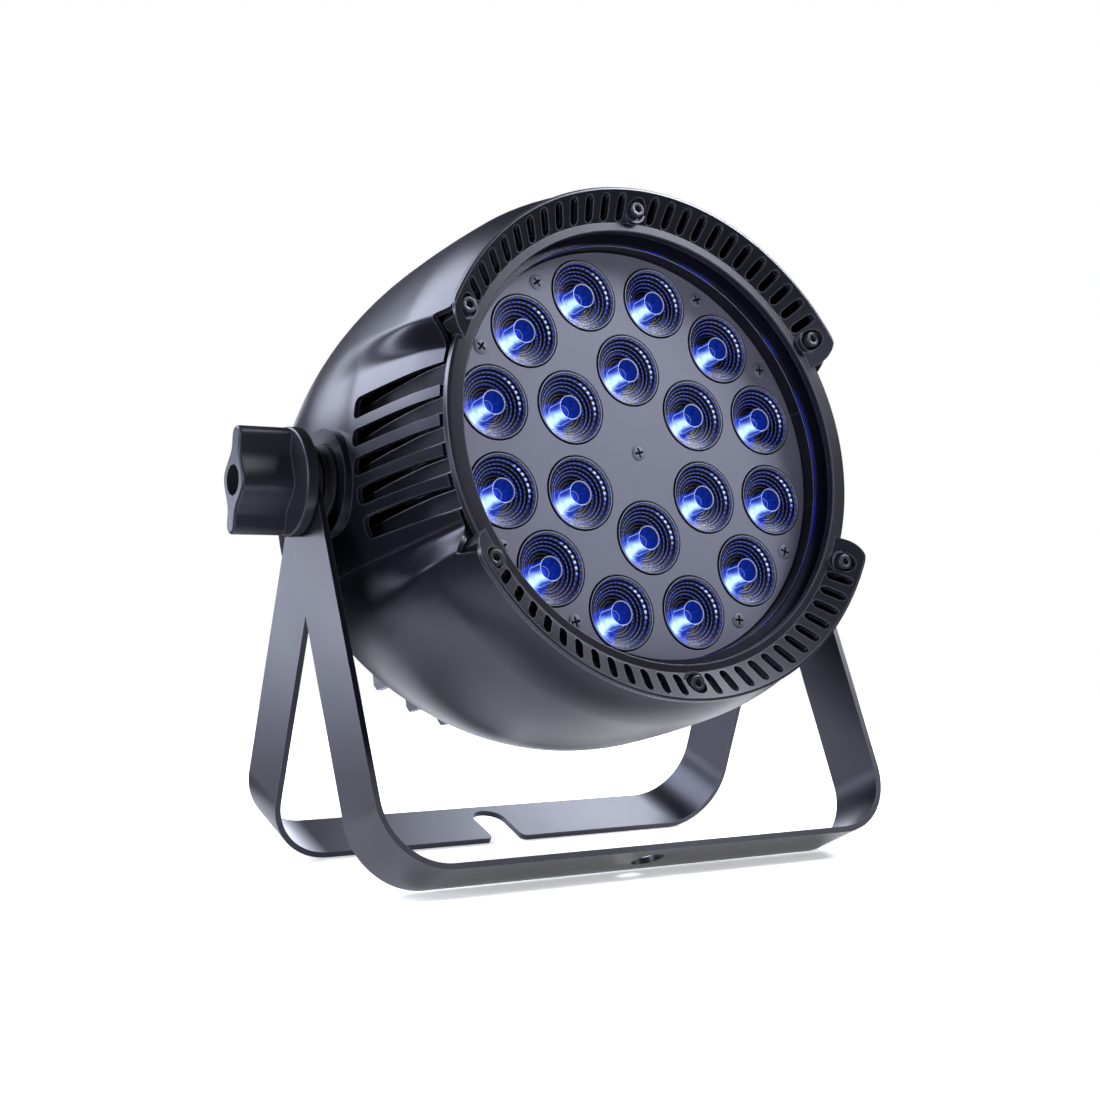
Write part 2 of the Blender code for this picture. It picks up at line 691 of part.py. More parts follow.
def shell_angles(first):
    """Angles round one shell, closer together at the creases beside the side faces."""
    side = [first]
    if first < 0:
        side += [-13, -6.5, 0, 6.5, 13, 17]
    side += [20.5, 23, 25.5, 29.5]
    return side + list(range(40, 141, 10)) + [180 - value for value in reversed(side)]


def shell_mesh(angles, back, mirrored):
    """A loft through unlike sections, thickened inwards by Solidify."""
    bm = bmesh.new()
    rows = []
    for depth in shell_depths(back):
        row = []
        for degrees in angles:
            folded = degrees if degrees <= 90 else 180 - degrees
            radius = shell_radius(-folded if mirrored else folded, depth)
            row.append(bm.verts.new(at_angle(radius, -degrees if mirrored else degrees, -depth)))
        rows.append(row)
    for upper, lower in zip(rows, rows[1:]):
        for index in range(len(angles) - 1):
            bm.faces.new((upper[index], upper[index + 1], lower[index + 1], lower[index]))
    outer = mesh_from(bm, "skin")
    middle = outer.polygons[len(outer.polygons) // 2]
    away = Vector((middle.center.x, middle.center.y, 0))
    if middle.normal.dot(away) < 0:
        outer.flip_normals()
    obj = bpy.data.objects.new("skin", outer)
    CUTTERS.objects.link(obj)
    solidify = obj.modifiers.new("wall", "SOLIDIFY")
    solidify.thickness = SHELL_WALL
    solidify.offset = -1
    return evaluated_mesh(obj)


def wedge_mesh(half_angle, centre, front, back):
    """A wedge about the lamp's axis that clears the shell's front edge at the sides."""
    reach = 160 * MM
    outline = [at_angle(90 * MM, centre - half_angle, 0)[:2], at_angle(reach, centre - half_angle, 0)[:2],
               at_angle(reach, centre + half_angle, 0)[:2], at_angle(90 * MM, centre + half_angle, 0)[:2]]
    return prism_mesh(outline, -back, -front)


def side_vent_cutters():
    """Slots open to the front between the bars, with round rear ends."""
    cutters = []
    for side in (-1, 1):
        for up, half in SIDE_VENTS:
            for sign in ((1, -1) if up else (1,)):
                corner = 3 * MM
                rear = -SIDE_VENT_BACK
                outline = [(up * sign - half, 20 * MM)]
                outline += arc((up * sign - half + corner, rear + corner), corner, 180, 270, 2)
                outline += arc((up * sign + half - corner, rear + corner), corner, 270, 360, 2)
                outline += [(up * sign + half, 20 * MM)]
                upright = Matrix(((0, 0, 1, 0), (1, 0, 0, 0), (0, 1, 0, 0), (0, 0, 0, 1)))
                start = 85 * MM if side > 0 else -140 * MM
                cutters.append(prism_mesh(outline, start, start + 55 * MM, upright))
    return cutters


def shell_front_cutters():
    """Cutters that set the shell's front edge back beside the bezel."""
    cutters = []
    for centre in (0, 180):
        cutters.append(wedge_mesh(25.8, centre, -40 * MM, SHELL_WING_FRONT))
        cutters.append(wedge_mesh(20.6, centre, -40 * MM, SHELL_SIDE_FRONT))
    return cutters


def build_upper_shell(parent):
    mesh = shell_mesh(shell_angles(-SEAM_ANGLE + 0.1), UPPER_BACK, False)
    bosses = [rod_mesh((side * 117.6 * MM, 0, -PIVOT_BEHIND_PLATE),
                       (side * BOSS_FACE, 0, -PIVOT_BEHIND_PLATE), BOSS_R, 48) for side in (-1, 1)]
    mesh = unite(mesh, *bosses)
    holes = [rod_mesh((side * 100 * MM, 0, -PIVOT_BEHIND_PLATE),
                      (side * 140 * MM, 0, -PIVOT_BEHIND_PLATE), STUD_HOLE_R, 24) for side in (-1, 1)]
    mesh = cut(mesh, *holes, *shell_front_cutters())
    mesh = cut(mesh, joined(side_vent_cutters()))
    return add_object("upper_shell", mesh, "black_paint", parent)


def build_lower_shell(parent):
    mesh = shell_mesh(shell_angles(SEAM_ANGLE + 0.1), LOWER_BACK, True)
    mesh = cut(mesh, *shell_front_cutters())
    return add_object("lower_shell", mesh, "black_paint", parent)


# ---------------------------------------------------------------- core and heat sink

def build_core_housing(parent):
    """Cast drum that holds the glass, with the bezel's screw lugs and five fins a side."""
    profile = [(SEAT_RIM_OUT_R, SEAT_RIM_FRONT), (SEAT_RIM_OUT_R, 2 * MM), (DRUM_OUT_R, -4 * MM),
               (DRUM_OUT_R, -DRUM_BACK), (DRUM_IN_R, -DRUM_BACK), (DRUM_IN_R, SEAT),
               (SEAT_RIM_R, SEAT), (SEAT_RIM_R, SEAT_RIM_FRONT)]
    mesh = turned_mesh(profile, 64)
    fins = []
    for side in (-1, 1):
        for up, half in SIDE_VENTS:
            for sign in ((1, -1) if up else (1,)):
                half_fin = half - 0.7 * MM
                inner = math.sqrt((97.2 * MM) ** 2 - (up + half_fin) ** 2)
                outer = math.sqrt(SIDE_FIN_R ** 2 - (up - half_fin) ** 2) if up else SIDE_FIN_R
                low = math.sqrt(SIDE_FIN_R ** 2 - (up + half_fin) ** 2)
                outline = [(inner, sign * (up - half_fin)), (outer, sign * (up - half_fin)),
                           (low, sign * (up + half_fin)), (inner, sign * (up + half_fin))]
                outline = [(side * x, y) for x, y in outline]
                fins.append(prism_mesh(outline, -SIDE_FIN_BACK, SIDE_FIN_FRONT))
    drum_back_gap = rod_mesh((0, 0, -SIDE_FIN_BACK - 5 * MM), (0, 0, -DRUM_BACK), 98.5 * MM, 64)
    glass_room = rod_mesh((0, 0, SEAT - 0.2 * MM), (0, 0, 20 * MM), SEAT_RIM_R + 0.4 * MM, 64)
    fins = cut(joined(fins), drum_back_gap, glass_room)
    lugs = []
    holes = []
    for angle in BOLT_ANGLES:
        outline = [at_angle(97 * MM, -3.2, 0)[:2], at_angle(97 * MM, 3.2, 0)[:2]]
        outline = list(reversed(outline)) + arc((BOLT_RING_R, 0), LUG_R, -90, 90, 5)
        turn = Matrix.Rotation(math.radians(angle), 4, "Z")
        lugs.append(prism_mesh(outline, -LUG_BACK, SEAT_RIM_FRONT, turn))
        holes.append(rod_mesh(at_angle(BOLT_RING_R, angle, 1 * MM), at_angle(BOLT_RING_R, angle, 22 * MM),
                              BOLT_HOLE_R, 8))
    lugs = cut(joined(lugs), glass_room.copy())
    mesh = unite(mesh, fins, lugs)
    return add_object("core_housing", cut(mesh, joined(holes)), "black_paint", parent)


def fin_outline(x):
    """One cooling fin in the depth-height plane: a full-height root, a low tail, a cut corner."""
    chamfer = 3 * MM
    root = math.sqrt((86 * MM) ** 2 - x ** 2)
    low = -math.sqrt(SINK_FIN_R ** 2 - (abs(x) + SINK_FIN_THICK / 2) ** 2)
    base = 35 * MM
    return [(base, root), (SINK_FIN_STEP, root), (SINK_FIN_STEP, SINK_FIN_TOP),
            (SINK_FIN_BACK, SINK_FIN_TOP), (SINK_FIN_BACK, low + chamfer),
            (SINK_FIN_BACK - chamfer, low), (40 * MM, low), (base, -root)]


def build_heat_sink(parent):
    """Stepped base disc behind the LED board, with upright fins along its back."""
    profile = [(0, -SINK_FRONT), (94.4 * MM, -SINK_FRONT), (94.4 * MM, -DRUM_BACK - GAP),
               (98 * MM, -DRUM_BACK - GAP), (98 * MM, -SINK_BASE_BACK), (0, -SINK_BASE_BACK)]
    mesh = turned_mesh(profile, 56)
    fins = []
    middle = (SINK_FIN_COUNT - 1) / 2
    for index in range(SINK_FIN_COUNT):
        x = (index - middle) * SINK_FIN_PITCH
        outline = [(-depth, up) for depth, up in fin_outline(x)]
        upright = Matrix(((0, 0, 1, x), (0, 1, 0, 0), (1, 0, 0, 0), (0, 0, 0, 1)))
        fins.append(prism_mesh(outline, -SINK_FIN_THICK / 2, SINK_FIN_THICK / 2, upright))
    screw_hole = rod_mesh((0, 0, -SINK_FRONT + 2 * MM), (0, 0, -30 * MM), PLATE_SCREW_HOLE_R, 12)
    return add_object("heat_sink", cut(unite(mesh, *fins), screw_hole), "raw_aluminium", parent, smooth=False)


# ---------------------------------------------------------------- rear housing and electronics

def chord_outline(radius, floor, steps):
    """A circle cut flat at the floor height."""
    angle = math.degrees(math.asin(floor / radius))
    return arc((0, 0), radius, angle, 180 - angle, steps)


def panel_hole_meshes():
    back = -TUB_BACK
    holes = [rod_mesh((x, SOCKET_UP, back - 5 * MM), (x, SOCKET_UP, back + 9 * MM), SOCKET_HOLE_R, 24)
             for x in SOCKET_X]
    holes.append(box_mesh((0, PANEL_UP, back), (PANEL_SIZE[0] - 10 * MM, PANEL_SIZE[1] - 8 * MM, 20 * MM)))
    return holes


def build_rear_housing(parent):
    outer = prism_mesh(chord_outline(TUB_R, TUB_FLOOR, 32), -TUB_BACK, -TUB_FRONT)
    bevelled = bpy.data.objects.new("tub", outer)
    CUTTERS.objects.link(bevelled)
    bevel = bevelled.modifiers.new("edge", "BEVEL")
    bevel.width = 3 * MM
    bevel.segments = 1
    bevel.limit_method = "ANGLE"
    bevel.angle_limit = math.radians(50)
    outer = evaluated_mesh(bevelled)
    hollow = prism_mesh(chord_outline(TUB_R - TUB_WALL, TUB_FLOOR + TUB_WALL, 32),
                        -TUB_BACK + TUB_WALL, -TUB_FRONT + 20 * MM)
    front_trim = box_mesh((0, 0, -TUB_FRONT), (300 * MM, 300 * MM, 8 * MM))
    loop_holes = [rod_mesh((x, LOOP_UP, -TUB_BACK - 5 * MM), (x, LOOP_UP, -TUB_BACK + 9 * MM),
                           LOOP_HOLE_R, 16) for x in (-LOOP_HALF, LOOP_HALF)]
    mesh = cut(outer, hollow, front_trim, *panel_hole_meshes(), *loop_holes)
    return add_object("rear_housing", mesh, "black_paint", parent)


def rear_plate(width, height, thick, x, up, lift):
    """A flat plate just behind the rear wall, lifted clear of it."""
    centre = (x, up, -TUB_BACK - lift - thick / 2)
    return box_mesh(centre, (width, height, thick))


def build_socket(name, x, material_name, cavity_radius, parent):
    """Chassis socket: a square flange and a round body through the rear wall."""
    width, height, thick = SOCKET_PLATE
    flange = rear_plate(width, height, thick, x, SOCKET_UP, GAP)
    back = -TUB_BACK - GAP - thick
    body = rod_mesh((x, SOCKET_UP, back + 0.5 * MM), (x, SOCKET_UP, back + SOCKET_BODY), SOCKET_BODY_R, 24)
    collar = rod_mesh((x, SOCKET_UP, back + 0.5 * MM), (x, SOCKET_UP, back - SOCKET_COLLAR),
                      SOCKET_COLLAR_R, 24)
    mesh = unite(flange, body, collar)
    if cavity_radius:
        mesh = cut(mesh, rod_mesh((x, SOCKET_UP, back - 9 * MM), (x, SOCKET_UP, back + SOCKET_CAVITY),
                                  cavity_radius, 24))
    else:
        pins = []
        for angle in (90, 210, 330):
            pin = rod_mesh((x, SOCKET_UP, back - 9 * MM), (x, SOCKET_UP, back + 11 * MM), SOCKET_PIN_R, 10)
            pins.append(slide_along(pin, at_angle(5 * MM, angle, 0)))
        mesh = cut(mesh, joined(pins))
    return add_object(name, mesh, material_name, parent)


def button_places():
    """Button centres as x and up, in the order of BUTTON_NAMES."""
    for row in BUTTON_ROWS:
        for column in BUTTON_COLUMNS:
            yield column, PANEL_UP + row


def build_control_panel(parent):
    width, height, thick = PANEL_SIZE
    mesh = rear_plate(width, height, thick, 0, PANEL_UP, GAP)
    back = -TUB_BACK
    window = box_mesh((DISPLAY_X, PANEL_UP, back - 5 * MM),
                      (DISPLAY_SIZE[0] - 4 * MM, DISPLAY_SIZE[1] - 4 * MM, 20 * MM))
    holes = [rod_mesh((x, up, back - 9 * MM), (x, up, back + 5 * MM), BUTTON_HOLE_R, 20)
             for x, up in button_places()]
    return add_object("control_panel", cut(mesh, window, joined(holes)), "black_plastic", parent)


def build_display(parent):
    width, height, thick = DISPLAY_SIZE
    mesh = box_mesh((DISPLAY_X, PANEL_UP, -TUB_BACK + thick / 2), (width, height, thick))
    return add_object("display", mesh, "display_glass", parent, smooth=False)


def build_button(name, axis):
    """A round cap on the panel with a wider foot behind it, so that it can't fall out."""
    lip = -TUB_BACK + 0.2 * MM - BUTTON_TOP
    end = lip + 1 * MM
    profile = [(0, end), (BUTTON_R + BUTTON_LIP, end), (BUTTON_R + BUTTON_LIP, lip), (BUTTON_R, lip),
               (BUTTON_R, 0.6 * MM), (BUTTON_R - 0.6 * MM, 0), (0, 0)]
    mesh = turned_mesh(profile, 16)
    return add_object(name, mesh, "black_rubber", axis)


def build_control_board(parent):
    """Circuit board behind the panel, with the push switches' bodies."""
    depth = TUB_BACK - 9 * MM
    mesh = box_mesh((0, PANEL_UP, -depth), (82 * MM, 24 * MM, 1.6 * MM))
    switches = [box_mesh((x, up, -depth - 1.8 * MM), (6 * MM, 6 * MM, 3 * MM))
                for x, up in button_places()]
    return add_object("control_board", unite(mesh, joined(switches)), "board_green", parent, smooth=False)


def build_power_supply(parent):
    """Open-frame supply: a board carried by a folded tray."""
    depth = SUPPLY_DEPTH
    tray = box_mesh((0, SUPPLY_UP, -depth), (128 * MM, 62 * MM, 34 * MM))
    hollow = box_mesh((0, SUPPLY_UP, -depth - 6 * MM), (123 * MM, 80 * MM, 38 * MM))
    capacitor = rod_mesh((-30 * MM, 18 * MM, -depth + 16 * MM), (-30 * MM, 18 * MM, -depth - 14 * MM),
                         11 * MM, 20)
    transformer = box_mesh((24 * MM, SUPPLY_UP, -depth + 4 * MM), (38 * MM, 34 * MM, 24 * MM))
    mesh = unite(cut(tray, hollow), capacitor, transformer)
    return add_object("power_supply", mesh, "raw_aluminium", parent, smooth=False)


def build_safety_loop(parent):
    """Bent steel wire whose ends pass through the rear wall."""
    straight = LOOP_HALF - LOOP_BEND
    turn = LOOP_REACH - LOOP_BEND
    path = [(-LOOP_HALF, -8 * MM)]
    path += arc((-straight, turn), LOOP_BEND, 180, 90, 5)
    path += arc((straight, turn), LOOP_BEND, 90, 0, 5)
    path += [(LOOP_HALF, -8 * MM)]
    points = [(across, LOOP_UP, -TUB_BACK - out) for across, out in path]
    curve = bpy.data.curves.new("loop", "CURVE")
    curve.dimensions = "3D"
    curve.bevel_depth = LOOP_WIRE_R
    curve.bevel_resolution = 2
    curve.use_fill_caps = True
    spline = curve.splines.new("POLY")
    spline.points.add(len(points) - 1)
    for point, place in zip(spline.points, points):
        point.co = (*place, 1)
    obj = bpy.data.objects.new("loop", curve)
    CUTTERS.objects.link(obj)
    mesh = evaluated_mesh(obj)
    bm = bmesh.new()
    bm.from_mesh(mesh)
    bmesh.ops.remove_doubles(bm, verts=bm.verts, dist=0.000001)
    return add_object("safety_loop", mesh_from(bm, "loop"), "bright_steel", parent)


# ---------------------------------------------------------------- assembly

def build_yokes():
    height = floor_drop(FRONT_DROP, FRONT_BAR_WIDTH, FRONT_LEAN)
    pivot = Vector((0, PIVOT_Y, height))
    front_axis = add_empty("front_bracket_axis", pivot, -FRONT_LEAN)
    rear_axis = add_empty("rear_bracket_axis", pivot, lean_for_floor(REAR_DROP, REAR_BAR_WIDTH, height))
    build_front_bracket(front_axis)
    build_rear_bracket(rear_axis)
    return pivot


def build_head(pivot):
    axis = add_empty("head_axis", pivot, math.pi / 2 - TILT)
    lamp = add_empty("lamp_front", (0, 0, PIVOT_BEHIND_PLATE), parent=axis)
    for side, name in ((-1, "left"), (1, "right")):
        build_stud(f"pivot_stud_{name}", side, axis)
        build_washer(f"inner_washer_{name}", BOSS_FACE + GAP, REAR_HALF_SPAN - BAR_THICK - GAP,
                     side, INNER_WASHER_R, axis)
        build_washer(f"outer_washer_{name}", REAR_HALF_SPAN + GAP,
                     FRONT_HALF_SPAN - BAR_THICK - GAP, side, OUTER_WASHER_R, axis)
        build_knob(f"knob_{name}", side, add_empty(f"knob_{name}_axis", pivot, KNOB_TURNS[name]))
    for build in (build_bezel, build_bezel_bolts, build_glass, build_gasket, build_lens_plate,
                  build_plate_screw, build_lenses, build_led_board, build_core_housing,
                  build_heat_sink, build_upper_shell, build_lower_shell, build_rear_housing,
                  build_control_panel, build_display, build_control_board, build_power_supply,
                  build_safety_loop):
        build(lamp)
    sockets = (("power_inlet", "socket_blue", SOCKET_CAVITY_R),
               ("power_outlet", "socket_grey", SOCKET_CAVITY_R),
               ("signal_input", "black_plastic", SOCKET_CAVITY_R),
               ("signal_output", "black_plastic", 0))
    for (name, colour, cavity), x in zip(sockets, SOCKET_X):
        build_socket(name, x, colour, cavity, lamp)
    for name, (x, up) in zip(BUTTON_NAMES, button_places()):
        build_button(name, add_empty(f"{name}_axis", (x, up, BUTTON_TOP), parent=lamp))


clear_scene()
PARTS = make_collection(OBJECT_NAME)
CUTTERS = make_collection("cutters")
build_head(build_yokes())
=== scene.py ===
import json
import math

import bmesh
import bpy
from mathutils import Matrix, Vector

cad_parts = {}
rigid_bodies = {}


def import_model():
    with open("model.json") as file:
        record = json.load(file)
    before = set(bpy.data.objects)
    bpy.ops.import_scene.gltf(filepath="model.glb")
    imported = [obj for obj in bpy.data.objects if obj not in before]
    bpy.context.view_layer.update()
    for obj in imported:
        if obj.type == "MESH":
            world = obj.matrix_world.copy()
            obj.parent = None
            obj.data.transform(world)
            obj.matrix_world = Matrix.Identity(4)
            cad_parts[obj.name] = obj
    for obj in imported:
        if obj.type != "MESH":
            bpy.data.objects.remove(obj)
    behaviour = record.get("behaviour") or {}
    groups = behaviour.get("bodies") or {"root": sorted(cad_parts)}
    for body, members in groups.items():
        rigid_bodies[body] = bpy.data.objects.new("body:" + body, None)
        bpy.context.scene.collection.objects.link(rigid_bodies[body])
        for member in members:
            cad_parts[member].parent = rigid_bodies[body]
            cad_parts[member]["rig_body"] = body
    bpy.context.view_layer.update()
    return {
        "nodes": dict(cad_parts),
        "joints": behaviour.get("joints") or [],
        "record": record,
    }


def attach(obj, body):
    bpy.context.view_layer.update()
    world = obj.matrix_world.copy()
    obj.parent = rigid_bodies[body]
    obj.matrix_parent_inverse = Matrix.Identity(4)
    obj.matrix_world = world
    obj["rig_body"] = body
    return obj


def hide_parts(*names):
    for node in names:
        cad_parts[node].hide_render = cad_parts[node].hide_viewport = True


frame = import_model()
NODES = frame["nodes"]
JOINTS = {joint["name"]: joint for joint in frame["joints"]}
MOUNTS = {mount["name"]: mount for mount in frame["record"]["mounts"]}
MM = 0.001
RIGHT = Vector((1, 0, 0))


# ---------------------------------------------------------------- axes, read from the frame

def axes_at(origin, along):
    """Axes with X to the right, Z along the given direction and Y square to both."""
    forward = Vector(along).normalized()
    up = forward.cross(RIGHT)
    columns = Matrix((RIGHT, up, forward)).transposed().to_4x4()
    return Matrix.Translation(origin) @ columns


def extent(node, axes):
    """Lowest and highest corner of a CAD node, measured along the given axes."""
    inverse = axes.inverted()
    points = [inverse @ vertex.co for vertex in NODES[node].data.vertices]
    low = Vector([min(point[i] for point in points) for i in range(3)])
    high = Vector([max(point[i] for point in points) for i in range(3)])
    return low, high


def centre_of(node, axes):
    low, high = extent(node, axes)
    return (low + high) / 2


PIVOT = Vector(JOINTS["head_tilt"]["pos_m"])
HEAD_AXES = axes_at(PIVOT, JOINTS["button_menu_press"]["axis"])
PIVOT_BEHIND_PLATE = extent("lens_plate", HEAD_AXES)[1].z
LAMP = HEAD_AXES @ Matrix.Translation((0, 0, PIVOT_BEHIND_PLATE))
FRONT_YOKE = axes_at(PIVOT, -Vector(MOUNTS["front_bar_face"]["axis"]))
REAR_YOKE = axes_at(PIVOT, -Vector(MOUNTS["rear_bar_face"]["axis"]))

# yokes, studs and knobs
BAR_THICK = 2.8 * MM
BEND_RADIUS = 31 * MM
STUD_HOLE_R = 5.5 * MM
CLAMP_HOLE_R = 7.6 * MM
NOTCH_HALF_WIDTH = 8.6 * MM
NOTCH_CENTRE = 3.2 * MM
NOTCH_CORNER = 3 * MM
KNOB_FOOT = 5.6 * MM
KNOB_FOOT_R = 24 * MM
KNOB_HALF_SPAN = 23.5 * MM
KNOB_HUB = 10.8 * MM
KNOB_ARM = 4.2 * MM
KNOB_HOLE_R = 6.8 * MM
KNOB_SWELL = 0.78
KNOB_TURNS = {"left": math.radians(9), "right": math.radians(-14)}
BOSS_R = 24 * MM
BOSS_FACE = 123.6 * MM

# optics
# Direction, in each lens's own axes, of the painted blue-white glow patch; it is the same on every lens.
LENS_PAINTED_PATCH_ANGLE = math.radians(216)
LENS_RIDGE_PITCH_MM = 1.5
LENS_FACETS = 34
LENS_STEPS = 8
LENS_R = 16.5 * MM
LENS_HOLE_R = 17 * MM
LENS_DEPTH = 14 * MM
PLATE_THICK = 2.4 * MM
PLATE_SCREW_RING = 88 * MM
CROSS_LENGTH = 4.6 * MM
CROSS_WIDTH = 1.0 * MM
CENTRE_SCREW_TURN = math.radians(12)
PLATE_SCREW_TURN = math.radians(17)
PLATE_SCREW_ANGLES = (30, 60, 120, 150, -30, -60, -120, -150)

# bezel
BEZEL_FRONT = 17 * MM
BEZEL_BACK = 13.4 * MM
BEZEL_IN_R = 98.2 * MM
BEZEL_RIM_R = 106 * MM
FLANGE_R = 115.6 * MM
FLANGE_IN_R = 101 * MM
FLANGE_FRONT = 26 * MM
FLANGE_SLOPE_IN_R = 102 * MM
FLANGE_SLOPE_OUT_R = 114.4 * MM
FLANGE_WALL = 2.6 * MM
FLANGE_SKIN = 3 * MM
FLANGE_POCKET_R = 103.4 * MM
SHELL_ROOM_R = 112.1 * MM
FLANGE_END_ANGLE = 29.3
FLANGE_END_R = 105.2 * MM
VENT_COUNT = 12
VENT_HALF_WIDTH = 2.15 * MM
VENT_IN_R = 102.6 * MM
VENT_OUT_R = 113 * MM
COUNTERBORE_R = 4.7 * MM
COUNTERBORE_FLOOR = 18 * MM
BOLT_HOLE_R = 2.3 * MM
BOLT_POST_R = 5.6 * MM
BOLT_POST_TOP = 19.6 * MM
BOLT_SOCKET_R = 1.9 * MM
GLASS_BACK = 10 * MM
GASKET_IN_R = 95 * MM
SEAT = 6.7 * MM

# shells
SHELL_WALL = 2.4 * MM
SHELL_MIN_R = 106.8 * MM
NECK_START = 4 * MM
NECK_FALL = 4.2 * MM
RECESS = 3.6 * MM
SHOULDER_START = 46 * MM
SHOULDER_FALL = 8.1 * MM
SHELL_MAX_R = 124 * MM
SHELL_WIDEST = 60 * MM
BOW_FRONT = 0.72
BOW_REAR = 1.85
BOW_REAR_BELOW = 1.95
RECESS_TOP = 20.5
RECESS_BLEND = 5.0
CREASE_BLEND = 4
SHELL_FRONT = -23 * MM
SHELL_SIDE_FRONT = -11.5 * MM
SHELL_WING_FRONT = -14.2 * MM
UPPER_BACK = 150 * MM
LOWER_BACK = 113 * MM
SEAM_ANGLE = 19.5
SEAM_GAP = 0.1
SHELL_ROWS = 72
SIDE_VENT_BACK = 43 * MM
SIDE_VENTS = ((0, 4.0 * MM), (12.8 * MM, 4.0 * MM), (26.6 * MM, 5.0 * MM))

# core housing
RIM_OUT_R = 102.4 * MM
RIM_IN_R = 101.1 * MM
RIM_FRONT = 12.9 * MM
DRUM_IN_R = 95 * MM
DRUM_OUT_R = 98.6 * MM
DRUM_BACK = 30 * MM
FIN_MAX_R = 112 * MM
FIN_STEPS = 36
SIDE_FIN_FRONT = 12.4 * MM
SIDE_FIN_BACK = 60 * MM
SIDE_FIN_IN_R = 97.2 * MM
SIDE_FIN_SIDE_GAP = 0.7 * MM
FIN_SINK = 1.5 * MM
FIN_SINK_REAR = 7.5 * MM
LUG_R = 5.4 * MM
LUG_IN_R = 97 * MM
LUG_BACK = 8 * MM
GAP = 0.35 * MM

# stage
NEAR_FLOOR_R = 0.24
WIDE_FLOOR_R = 8.5
FLOOR_THICK = 0.01
FLOOR_DROP = 0.0005
FLOOR_GLOW = 0.45
FLOOR_FADE = 0.95
FLOOR_FADE_SOFT = 0.45
LAMP_MIDDLE = Vector((0, 0, 0.16))
COOL_LIGHT = (0.82, 0.86, 1.0)
KEY_LIGHT = (0.97, 0.98, 1.0)
LIGHTS = (
    ("key", (1.05, -0.65, 1.35), (0.7, 0.7), 50, KEY_LIGHT),
    ("top_left", (-0.9, 0.9, 1.15), (1.5, 1.1), 42, COOL_LIGHT),
    ("left", (-1.3, -0.55, 0.45), (0.2, 0.5), 12, COOL_LIGHT),
    ("rim", (0.9, 0.9, 0.6), (0.4, 1.2), 12, COOL_LIGHT),
    ("back_left", (-0.95, 1.3, 0.13), (0.7, 0.24), 5, COOL_LIGHT),
    ("back", (0.75, 1.4, 0.3), (1.0, 0.4), 8, COOL_LIGHT),
    ("front", (-0.75, -1.4, 0.12), (0.7, 0.4), 2.5, COOL_LIGHT),
)

# camera
CAMERA_FROM_PIVOT = Vector((-0.45218, -0.70387, -0.04821))
CAMERA_TILT = math.radians(91.397)
CAMERA_TURN = math.radians(-32.464)
CAMERA_LENS = 57.409
CAMERA_SENSOR = 36


# ---------------------------------------------------------------- mesh helpers

def arc(centre, radius, start, end, steps):
    points = []
    for step in range(steps + 1):
        angle = math.radians(start + (end - start) * step / steps)
        points.append((centre[0] + radius * math.cos(angle), centre[1] + radius * math.sin(angle)))
    return points


def at_angle(radius, degrees, height=0.0):
    angle = math.radians(degrees)
    return Vector((radius * math.cos(angle), radius * math.sin(angle), height))


def smoothstep(low, high, value):
    t = min(max((value - low) / (high - low), 0), 1)
    return t * t * (3 - 2 * t)


def mesh_from(bm):
    bmesh.ops.recalc_face_normals(bm, faces=bm.faces)
    mesh = bpy.data.meshes.new("mesh")
    bm.to_mesh(mesh)
    bm.free()
    return mesh


def evaluated(obj):
    """The object's mesh with its modifiers applied. The object itself is removed."""
    bpy.context.scene.collection.objects.link(obj)
    depsgraph = bpy.context.evaluated_depsgraph_get()
    mesh = bpy.data.meshes.new_from_object(obj.evaluated_get(depsgraph))
    bpy.data.objects.remove(obj, do_unlink=True)
    return mesh


def rod(start, end, radius, segments):
    start, end = Vector(start), Vector(end)
    bm = bmesh.new()
    bmesh.ops.create_cone(bm, cap_ends=True, segments=segments, radius1=radius, radius2=radius,
                          depth=(end - start).length)
    turn = (end - start).to_track_quat("Z", "Y").to_matrix().to_4x4()
    bmesh.ops.transform(bm, matrix=Matrix.Translation((start + end) / 2) @ turn, verts=bm.verts)
    return mesh_from(bm)


def block(centre, size):
    bm = bmesh.new()
    bmesh.ops.create_cube(bm, size=1)
    bmesh.ops.scale(bm, vec=size, verts=bm.verts)
    bmesh.ops.translate(bm, vec=centre, verts=bm.verts)
    return mesh_from(bm)


def turned(profile, segments):
    """A profile of (radius, height) points turned about Z, closed where it misses the axis."""
    points = [Vector((radius, 0, height)) for radius, height in profile]
    closed = profile[0][0] > 0 or profile[-1][0] > 0
    bm = bmesh.new()
    vertices = [bm.verts.new(point) for point in points]
    edges = [bm.edges.new(pair) for pair in zip(vertices, vertices[1:])]
    if closed:
        edges.append(bm.edges.new((vertices[-1], vertices[0])))
    bmesh.ops.spin(bm, geom=vertices + edges, cent=(0, 0, 0), axis=(0, 0, 1), angle=math.tau,
                   steps=segments, use_merge=True)
    bmesh.ops.remove_doubles(bm, verts=bm.verts, dist=0.000002)
    return mesh_from(bm)


def prism(outline, start, end, matrix=None):
    """A flat outline of (x, y) points extruded from z start to z end."""
    bm = bmesh.new()
    base = [bm.verts.new((x, y, start)) for x, y in outline]
    face = bm.faces.new(base)
    extruded = bmesh.ops.extrude_face_region(bm, geom=[face])
    moved = [item for item in extruded["geom"] if isinstance(item, bmesh.types.BMVert)]
    bmesh.ops.translate(bm, vec=(0, 0, end - start), verts=moved)
    if matrix:
        bmesh.ops.transform(bm, matrix=matrix, verts=bm.verts)
    return mesh_from(bm)


def joined(meshes):
    bm = bmesh.new()
    for mesh in meshes:
        bm.from_mesh(mesh)
    return mesh_from(bm)


def moved(mesh, matrix):
    mesh.transform(matrix)
    return mesh


